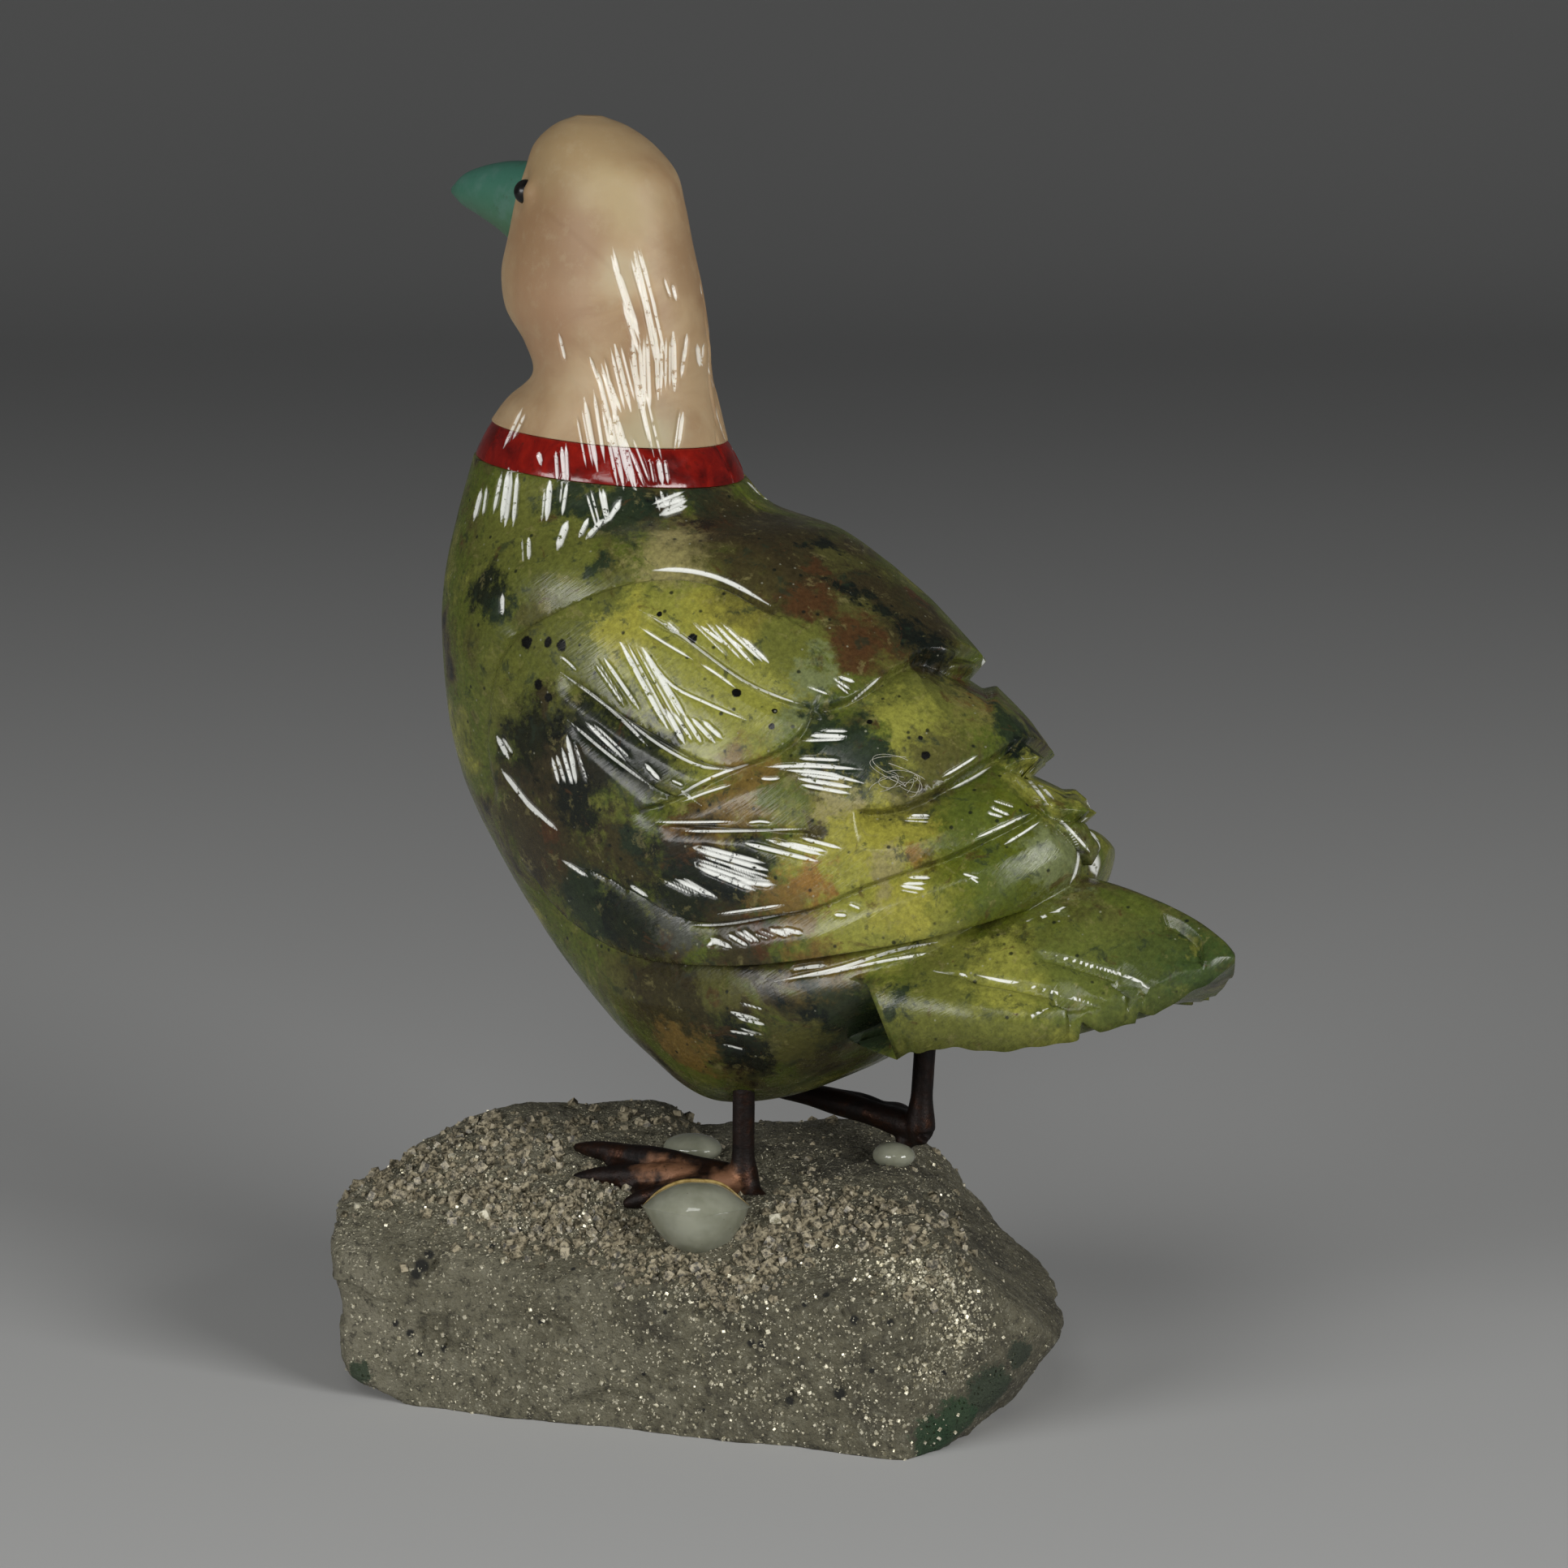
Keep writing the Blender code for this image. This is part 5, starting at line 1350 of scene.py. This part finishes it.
def green_serpentine(seen):
    """Mottled stone: clouds of brown, olive and green, broad patches at their places whose edges
    are torn by noise, rust veins, black specks and fine dust, under a high polish with hairline
    scratches."""
    made, place, link = material("green_serpentine", IOR=1.37)
    ragged = place.noise(2.2, 4.0, 0.65, output=1).vector("SUBTRACT", MIDDLE_GREY)
    warped = place.vector("ADD", ragged.scaled(6.0))
    torn = place.noise(1.0, 5.0, 0.8) - 0.5
    color = place.noise(8.0, 5.0, 0.65, 0.6).ramp(
        (0.34, BLACK), (0.40, BROWN), (0.45, OLIVE), (0.51, LEAF), (0.58, MOSS),
        (0.66, CITRON))
    for x, y, radius, tint in PATCHES:
        off = place.node("Math", {"operation": "MULTIPLY_ADD"},
                         {0: torn, 1: 2.4 * min(radius, 2.5), 2: warped.distance(seen(x, y))})
        mask = place.node("MapRange", None, {"Value": off, "From Min": radius * 1.25,
                                             "From Max": radius * 0.65, "To Max": 0.92})
        color = mask.paint(color, tint)
    mottle = place.noise(1.6, 5.0, 0.75, 0.4)
    color = (mottle.rise(0.56, 0.66) * 0.65).paint(color, PINE)
    color = ((1 - mottle.rise(0.34, 0.43)) * 0.35).paint(color, CREAM)
    color = (place.noise(3.4, 5.0, 0.72, 1.2).rise(0.60, 0.68) * 0.6).paint(color, RUST)
    speckled = place.cells(0.75, output=1).part(0) > 0.84
    color = (speckled * (1 - place.cells(0.75).rise(0.10, 0.26)) * 0.85).paint(color, BLACK)
    for x, y, radius in SPECKS:
        color = place.spot(seen(x, y), radius, 0.75, 1.1, 1.6 * radius * torn).paint(color, SPECK_BLACK)
    dusty = (place.cells(0.55, output=1).part(1) > 0.90) * (1 - place.cells(0.55).rise(0.10, 0.18))
    color = (dusty * 0.5).paint(color, DUST)
    grain = place.noise(0.35, 3.0, 0.7).ramp((0.3, (0.50, 0.50, 0.48)), (0.7, (0.90, 0.90, 0.84)))
    color = place.node("Mix", {"data_type": "RGBA", "blend_type": "MULTIPLY"},
                       {0: 1.0, 6: color, 7: grain}, 2)
    # Grooves painted white: the wheel's frosting, with painted glints on it
    color = (groove_white_and_glints(place) * 0.85).paint(color, SERPENTINE_WHITE_AND_GLINT)
    scratched = place.node("Mapping", {"vector_type": "TEXTURE"},
                           {"Vector": place, "Rotation": (0.3, -0.7, LOOK_TURN),
                            "Scale": (4.0, 1.0, 0.3)})
    relief = scratched.noise(0.45, 2.0, 0.6) + 0.8 * place.noise(0.8, 2.0, 0.5)
    link(Base_Color=color, Roughness=0.22 + 0.16 * mottle.rise(0.4, 0.7) + 0.3 * dusty,
         Normal=relief.bump(0.04, 0.5))
    return made


def pink_calcite(seen):
    """Milky stone from cream at the crown to pinkish beige at the cheek, with a faint slanting
    vein and cloudy spots, polished."""
    made, place, link = material("pink_calcite", IOR=1.36, Subsurface_Weight=0.15,
                                 Subsurface_Radius=(1.0, 0.6, 0.3), Subsurface_Scale=0.001)
    color = place.noise(5.0, 4.0, 0.6, 0.5).ramp(
        (0.32, (0.29, 0.180, 0.095)), (0.5, (0.36, 0.245, 0.135)), (0.68, (0.43, 0.31, 0.18)))
    torn = 3.0 * (place.noise(2.0, 3.0) - 0.5)
    for x, y, radius, tint in CALCITE_CLOUDS:
        color = (place.spot(seen(x, y), radius, 0.3, 1.2, torn) * 0.8).paint(color, tint)
    start, end = (seen(x, y) for x, y in CALCITE_VEIN)
    across = np.cross(end - start, BACK)
    across /= np.linalg.norm(across)
    level = place.vector("DOT_PRODUCT", tuple(across), output=1)
    level = level + 0.8 * (place.noise(4.0, 2.0) - 0.5) - float(start @ across)
    vein = 1 - level.math("ABSOLUTE", level, 0.0).rise(0.0, 0.35)
    near = place.spot((start + end) / 2, 1.0, 2.0, 4.5)
    color = (vein * near * 0.22).paint(color, (0.22, 0.12, 0.06))
    milky = place.noise(1.1, 4.0, 0.7).rise(0.5, 0.72) * 0.3
    color = milky.paint(color, (0.42, 0.33, 0.20))
    # Grooves painted white: the wheel's frosting, with painted glints on it
    white = groove_white_and_glints(place)
    color = (white * 0.8).paint(color, CALCITE_WHITE_AND_GLINT)
    link(Base_Color=color, Roughness=0.48 + 0.2 * milky - 0.25 * white,
         Normal=place.noise(0.7, 3.0, 0.6).bump(0.04, 0.5))
    return made


def blue_green_stone():
    """Soft green stone, bluer along the top, with pale clouds."""
    made, place, link = material("blue_green_stone", Coat_Weight=0.2, Coat_Roughness=0.2, IOR=1.5)
    blue = place.axis(2).rise(NECK_FOOT_Z + 12.5, NECK_FOOT_Z + 17.0)
    color = blue.paint((0.050, 0.125, 0.058), (0.045, 0.155, 0.108))
    color = (place.noise(1.5, 4.0, 0.6).rise(0.48, 0.72) * 0.45).paint(color, (0.10, 0.19, 0.16))
    color = (place.noise(0.7, 4.0, 0.7).rise(0.58, 0.72) * 0.4).paint(color, (0.03, 0.06, 0.025))
    link(Base_Color=color, Roughness=0.34 + 0.15 * place.noise(1.0, 2.0),
         Normal=place.noise(0.5, 3.0).bump(0.03, 0.5))
    return made


def red_jasper():
    """Deep red stone with brown clouds and brighter flecks, polished."""
    made, place, link = material("red_jasper", IOR=1.52)
    color = place.noise(2.4, 4.0, 0.65, 0.6).ramp(
        (0.32, (0.060, 0.003, 0.002)), (0.5, (0.15, 0.005, 0.003)), (0.68, (0.24, 0.009, 0.004)))
    color = (place.noise(0.8, 3.0, 0.7).rise(0.58, 0.7) * 0.5).paint(color, (0.06, 0.008, 0.004))
    # Grooves painted white: the wheel's frosting, with painted glints on it
    color = (groove_white_and_glints(place) * 0.8).paint(color, JASPER_WHITE_AND_GLINT)
    link(Base_Color=color, Roughness=0.14 + 0.15 * place.noise(1.0, 3.0).rise(0.4, 0.8),
         Normal=place.noise(0.5, 3.0, 0.6).bump(0.03, 0.5))
    return made


def black_bead():
    """Glossy black with a faint haze of polish."""
    made, place, link = material("black_bead", IOR=1.4)
    color = place.noise(0.6, 3.0).ramp((0.4, (0.005, 0.005, 0.005)), (0.7, (0.016, 0.014, 0.012)))
    link(Base_Color=color, Roughness=0.2 + 0.1 * place.noise(0.4, 2.0))
    return made


def brown_cast_metal(seen):
    """Dark brown patina over copper, which shows through where the left foot is rubbed and is
    painted brighter there as a highlight on the foot's top; slightly pitted."""
    made, place, link = material("brown_cast_metal", IOR=1.35)
    worn = place.noise(1.5, 4.0, 0.65, 0.3)
    color = worn.ramp((0.36, (0.005, 0.003, 0.0025)), (0.54, (0.014, 0.007, 0.005)),
                      (0.70, (0.055, 0.025, 0.015)))
    torn = 2.0 * (place.noise(0.8, 3.0) - 0.5)
    # Bare copper on the left foot, painted bright as a highlight there too
    for x, y in COPPER_AND_HIGHLIGHT_SPOTS:
        color = (place.spot(seen(x, y), 1.0, 0.5, 1.8, torn) * 0.75).paint(color, COPPER_WITH_HIGHLIGHT)
    color = (place.noise(0.5, 3.0, 0.7).rise(0.58, 0.70) * 0.7).paint(color, (0.012, 0.008, 0.006))
    relief = place.noise(0.45, 4.0, 0.7) + 0.5 * place.noise(1.5, 2.0)
    link(Base_Color=color, Metallic=0.35 + 0.4 * worn.rise(0.45, 0.65),
         Roughness=0.55 - 0.2 * worn.rise(0.4, 0.7), Normal=relief.bump(0.10, 0.7))
    return made


def dried_glue():
    """Cloudy grey resin with a few small bubbles, glossy."""
    made, place, link = material("dried_glue", IOR=1.50, Subsurface_Weight=0.3,
                                 Subsurface_Radius=(1.2, 1.1, 0.9), Subsurface_Scale=0.001)
    color = place.noise(1.8, 3.0, 0.5).ramp((0.38, (0.19, 0.195, 0.142)), (0.62, (0.25, 0.255, 0.195)))
    bubble = (1 - place.cells(0.6).rise(0.08, 0.14)) * (place.cells(0.6, output=1).part(0) > 0.75)
    color = (bubble * 0.6).paint(color, (0.12, 0.12, 0.09))
    link(Base_Color=color, Roughness=0.03 + 0.08 * place.noise(0.8, 2.0),
         Normal=place.noise(1.6, 2.0).bump(0.04, 0.4))
    return made


def brassy_ore(seen):
    """Dark grey-brown ore: clouds of khaki and brown, painted lighter towards its left end as
    painted light, with painted shade where the duck shadows its top and its far face turns from
    the light, black in the pits, a green film on the lower right, and brass-bright crystals that
    each lean their own way, thick on the upper slope and the right end."""
    made, place, link = material("brassy_ore", IOR=1.5)
    cloudy = place.noise(6.0, 5.0, 0.68, 0.4)
    # Painted light: the ore is painted lighter towards its left end, where the light falls more
    lit = place.axis(0).rise(16.0, -16.0)
    color = (cloudy + 0.20 * lit - 0.08).ramp(
        (0.32, (0.064, 0.058, 0.037)), (0.48, (0.112, 0.102, 0.063)),
        (0.60, (0.148, 0.137, 0.090)), (0.74, (0.185, 0.170, 0.118)))
    # Painted shade: the duck's shadow on the ore's top and its far face turned from the light
    for x, y, radius in PAINTED_SHADE_ORE:
        mask = place.spot(seen(x, y), radius, 0.5, 1.1, 4.0 * (cloudy - 0.5))
        color = (mask * 0.7).paint(color, (0.045, 0.040, 0.026))
    fine = place.noise(0.7, 5.0, 0.8)
    color = (fine.rise(0.52, 0.62) * 0.75).paint(color, (0.030, 0.027, 0.017))
    color = ((1 - fine.rise(0.38, 0.46)) * 0.6).paint(color, (0.20, 0.19, 0.135))
    for x, y, size in PITS:
        color = place.spot(seen(x, y), size, 0.45, 0.95, size * (fine - 0.5)).paint(color, PIT_BLACK)
    rich = (place.axis(2) + 4.0 * (cloudy - 0.5)).rise(9.5, 12.5) * 0.16
    for x, y, radius in RICH_ORE:
        rich = rich.math("MAXIMUM", rich, 0.26 * place.spot(seen(x, y), radius, 0.3, 1.0))
    tint = place.cells(0.14, output=1)
    shiny = tint.part(0) > 0.94 - rich - 0.10 * place.noise(2.5, 3.0, 0.6).rise(0.45, 0.65)
    color = (shiny * 0.8).paint(color, tint.part(1).paint((0.24, 0.22, 0.15), (0.66, 0.62, 0.48)))
    for x, y, radius, film in GREEN_FILMS:
        mask = place.spot(seen(x, y), radius, 0.8, 1.1, 3.0 * (fine - 0.5))
        color = (mask * 0.9).paint(color, film)
    lean = tint.vector("SUBTRACT", MIDDLE_GREY).scaled(shiny * 1.5)
    rough = (0.6 * place.noise(0.22, 3.0, 0.7) + place.noise(0.8, 4.0, 0.7)).bump(0.45, 1.0)
    link(Base_Color=color, Metallic=shiny * 0.9, Roughness=0.8 - 0.5 * shiny,
         Normal=rough.vector("ADD", lean).vector("NORMALIZE"))
    return made


def plain_grain(name, low, high, metallic, roughness):
    """A small thing's finish: two tones in clouds, with a slightly uneven face."""
    made, place, link = material(name, Metallic=metallic, IOR=1.5)
    color = place.noise(0.4, 3.0, 0.7).ramp((0.40, low), (0.60, high))
    link(Base_Color=color, Roughness=roughness + 0.2 * place.noise(0.3, 2.0),
         Normal=place.noise(0.25, 2.0).bump(0.03, 0.5))
    return made


def floor_paint():
    """Plain matt pale grey with the faintest unevenness."""
    made, place, link = material("pale_floor", Specular_IOR_Level=0.1)
    color = place.noise(400.0, 2.0).ramp((0.3, (0.50, 0.50, 0.49)), (0.7, (0.53, 0.53, 0.52)))
    link(Base_Color=color, Roughness=0.85 + 0.1 * place.noise(300.0, 2.0))
    return made


# Pieces
body_points = body_rings() + STAND_AT
body = make("carved_body", skin(body_points))
tail_points = tail_rings() + STAND_AT
tail = make("tail_fan", skin(tail_points))
modify(body, "tail", "BOOLEAN", object=tail, operation="UNION", solver="MANIFOLD")
settle(body)
bpy.data.objects.remove(tail)
triangle_count = sum(len(face.vertices) - 2 for face in body.data.polygons)
modify(body, "fewer", "DECIMATE", ratio=min(1.0, BODY_TRIANGLES / triangle_count))
settle(body)
carved = np.concatenate([body_points.reshape(-1, 3), tail_points.reshape(-1, 3)])
paint_groove_white_and_glints(body, WING_ROUTES + NECK_ROUTES + TAIL_ROUTES)
dress(body, green_serpentine(finder(carved)), "green_serpentine", "body")

collar = paint_groove_white_and_glints(make("polished_collar", skin(collar_rings() + STAND_AT)), NECK_ROUTES)
dress(collar, red_jasper(), "red_jasper", "collar")
head_points = head_rings() + STAND_AT
head = paint_groove_white_and_glints(make("polished_head", skin(head_points)), NECK_ROUTES)
dress(head, pink_calcite(finder(head_points)), "pink_calcite", "head_and_neck")
beak = make("polished_beak", skin(beak_rings() + STAND_AT))
dress(beak, blue_green_stone(), "blue_green_stone", "beak")
bead_black = black_bead()
for name, side in (("left_eye", -1), ("right_eye", 1)):
    eye = bead(eye_middle(side) + STAND_AT, EYE_DIAMETER)
    dress(make(name + "_bead", skin(eye)), bead_black, "black_bead", name)

left_foot_points = leg_shape(LEGS["left_leg"])[0]
cast_metal = brown_cast_metal(finder(left_foot_points))
for name, leg in LEGS.items():
    foot = make(name + "_cast", leg_shape(leg))
    modify(foot, "cast", "REMESH", mode="VOXEL", voxel_size=CAST_GRAIN * MM)
    modify(foot, "soften", "SMOOTH", factor=0.5, iterations=4)
    dress(settle(foot), cast_metal, "brown_cast_metal", name)

ways = rock_ways()
seen_on_rock = finder(placed(ways * rock_skin(ways)[..., None]))
rock_points = rock_surface(ways, [(seen_on_rock(x, y), size) for x, y, size in PITS])
seen_on_rock = finder(rock_points)
dress(make("rough_rock", skin(rock_points)), brassy_ore(seen_on_rock), "brassy_ore", "rock_base")
brass_grain = plain_grain("brass_grain", (0.26, 0.235, 0.15), (0.84, 0.79, 0.62), 0.5, 0.28)
dull_grain = plain_grain("dull_grain", (0.035, 0.030, 0.018), (0.37, 0.32, 0.215), 0.0, 0.35)
rng = np.random.default_rng(60)
for name, finish, listed, banks, count, least, most in (
        ("brassy_crystals", brass_grain, BRIGHT_CRYSTALS, CHIP_BANKS, 3400, 0.05, 0.24),
        ("dull_crystals", dull_grain, DULL_CRYSTALS, GRAIN_BANKS, 2200, 0.12, 0.66)):
    places = np.concatenate([scattered(rock_points, banks, count, len(name)),
                             [seen_on_rock(x, y) for x, y, _ in listed]])
    spread = least + (most - least) * rng.random(count) ** 2.5
    widths = np.concatenate([spread, [size for _, _, size in listed]])
    dress(make(name, cubes(places, widths, count), True), finish, "brassy_ore")

resin = dried_glue()
dress(make("glue_bowl", skin(glue_bowl())), resin, "dried_glue", "glue_bead_left")
rim_path = on_plane(spline(GLUE_RIM, np.linspace(0, 1, 60)), GLUE_MIDDLE)
rim_width = 0.05 + 0.09 * np.sin(np.linspace(0, math.pi, 60))
old_resin = plain_grain("yellowed_glue", (0.20, 0.13, 0.03), (0.34, 0.24, 0.08), 0.0, 0.25)
dress(make("glue_rim", tube(rim_path, rim_width, 10)), old_resin, "dried_glue")
for name, node, middle, size in GLUE_BEADS:
    dress(make(name, skin(bead(middle + STAND_AT, size))), resin, "dried_glue", node)
fibre = plain_grain("lint_fibre", (0.32, 0.31, 0.25), (0.52, 0.50, 0.42), 0.0, 0.7)
dress(make("lint_wisp", lint(finder(body_points)(*LINT_SPOT))), fibre, "dried_glue")


FLOOR_GAP = 0.02                # keeps the floor off the rock's underside


def floor_sheet(wide=41, deep=61):
    """A level floor that sweeps up behind the carving: height grows with the square of the
    distance past 0.9 m away from the camera."""
    across, away = np.meshgrid(np.linspace(-2500, 2500, wide), np.linspace(-1500, 2600, deep),
                               indexing="ij")
    ahead = -np.array([BACK[0], BACK[1], 0.0]) / math.cos(LOOK_TIP)
    p = across[..., None] * RIGHT + away[..., None] * ahead
    p[..., 2] = np.clip(away - 900, 0, None) ** 2 / 1400 - FLOOR_GAP
    i, j = np.meshgrid(np.arange(wide - 1), np.arange(deep - 1), indexing="ij")
    corner = (i * deep + j).ravel()
    quads = np.stack([corner, corner + deep, corner + deep + 1, corner + 1], -1)
    return p.reshape(-1, 3), quads, np.zeros((0, 3), int)


# Stage, light and camera
floor = make("floor", floor_sheet())
floor.data.materials.append(floor_paint())


def area_light(name, turn, tip, distance, wide, high, power):
    """A soft box aimed at the carving: turned and tipped from the camera's side by degrees, with
    its distance and sizes in metres and its power in watts."""
    a, e = LOOK_TURN + math.radians(turn), math.radians(tip)
    way = Vector((math.sin(a) * math.cos(e), -math.cos(a) * math.cos(e), math.sin(e)))
    light = bpy.data.lights.new(name, "AREA")
    light.shape = "RECTANGLE"
    light.size = wide
    light.size_y = high
    light.energy = power
    obj = bpy.data.objects.new(name, light)
    obj.location = Vector(LOOK_AT * MM) + way * distance
    obj.rotation_euler = way.to_track_quat("Z", "Y").to_euler()
    bpy.context.scene.collection.objects.link(obj)


for name, *light_numbers in (
        ("key_left", -46, 14, 0.60, 0.36, 0.20, 2.0),
        ("key_right", 42, 18, 0.60, 0.30, 0.20, 2.5),
        ("front_fill", -10, 34, 0.90, 0.30, 0.20, 1.0)):
    area_light(name, *light_numbers)
world = bpy.data.worlds.new("studio")
world.use_nodes = True
background = world.node_tree.nodes["Background"]
background.inputs["Color"].default_value = (0.90, 0.92, 0.95, 1.0)
background.inputs["Strength"].default_value = 0.06
bpy.context.scene.world = world

camera = bpy.data.cameras.new("camera")
camera.lens = LENS
camera.sensor_width = SENSOR
camera.clip_start = 0.01
camera_object = bpy.data.objects.new("camera", camera)
stand = Matrix([Vector(RIGHT), Vector(UP), Vector(BACK)]).transposed().to_4x4()
stand.translation = Vector(CAMERA_AT * MM)
camera_object.matrix_world = stand
bpy.context.scene.collection.objects.link(camera_object)
bpy.context.scene.camera = camera_object
bpy.context.scene.view_settings.view_transform = "Standard"
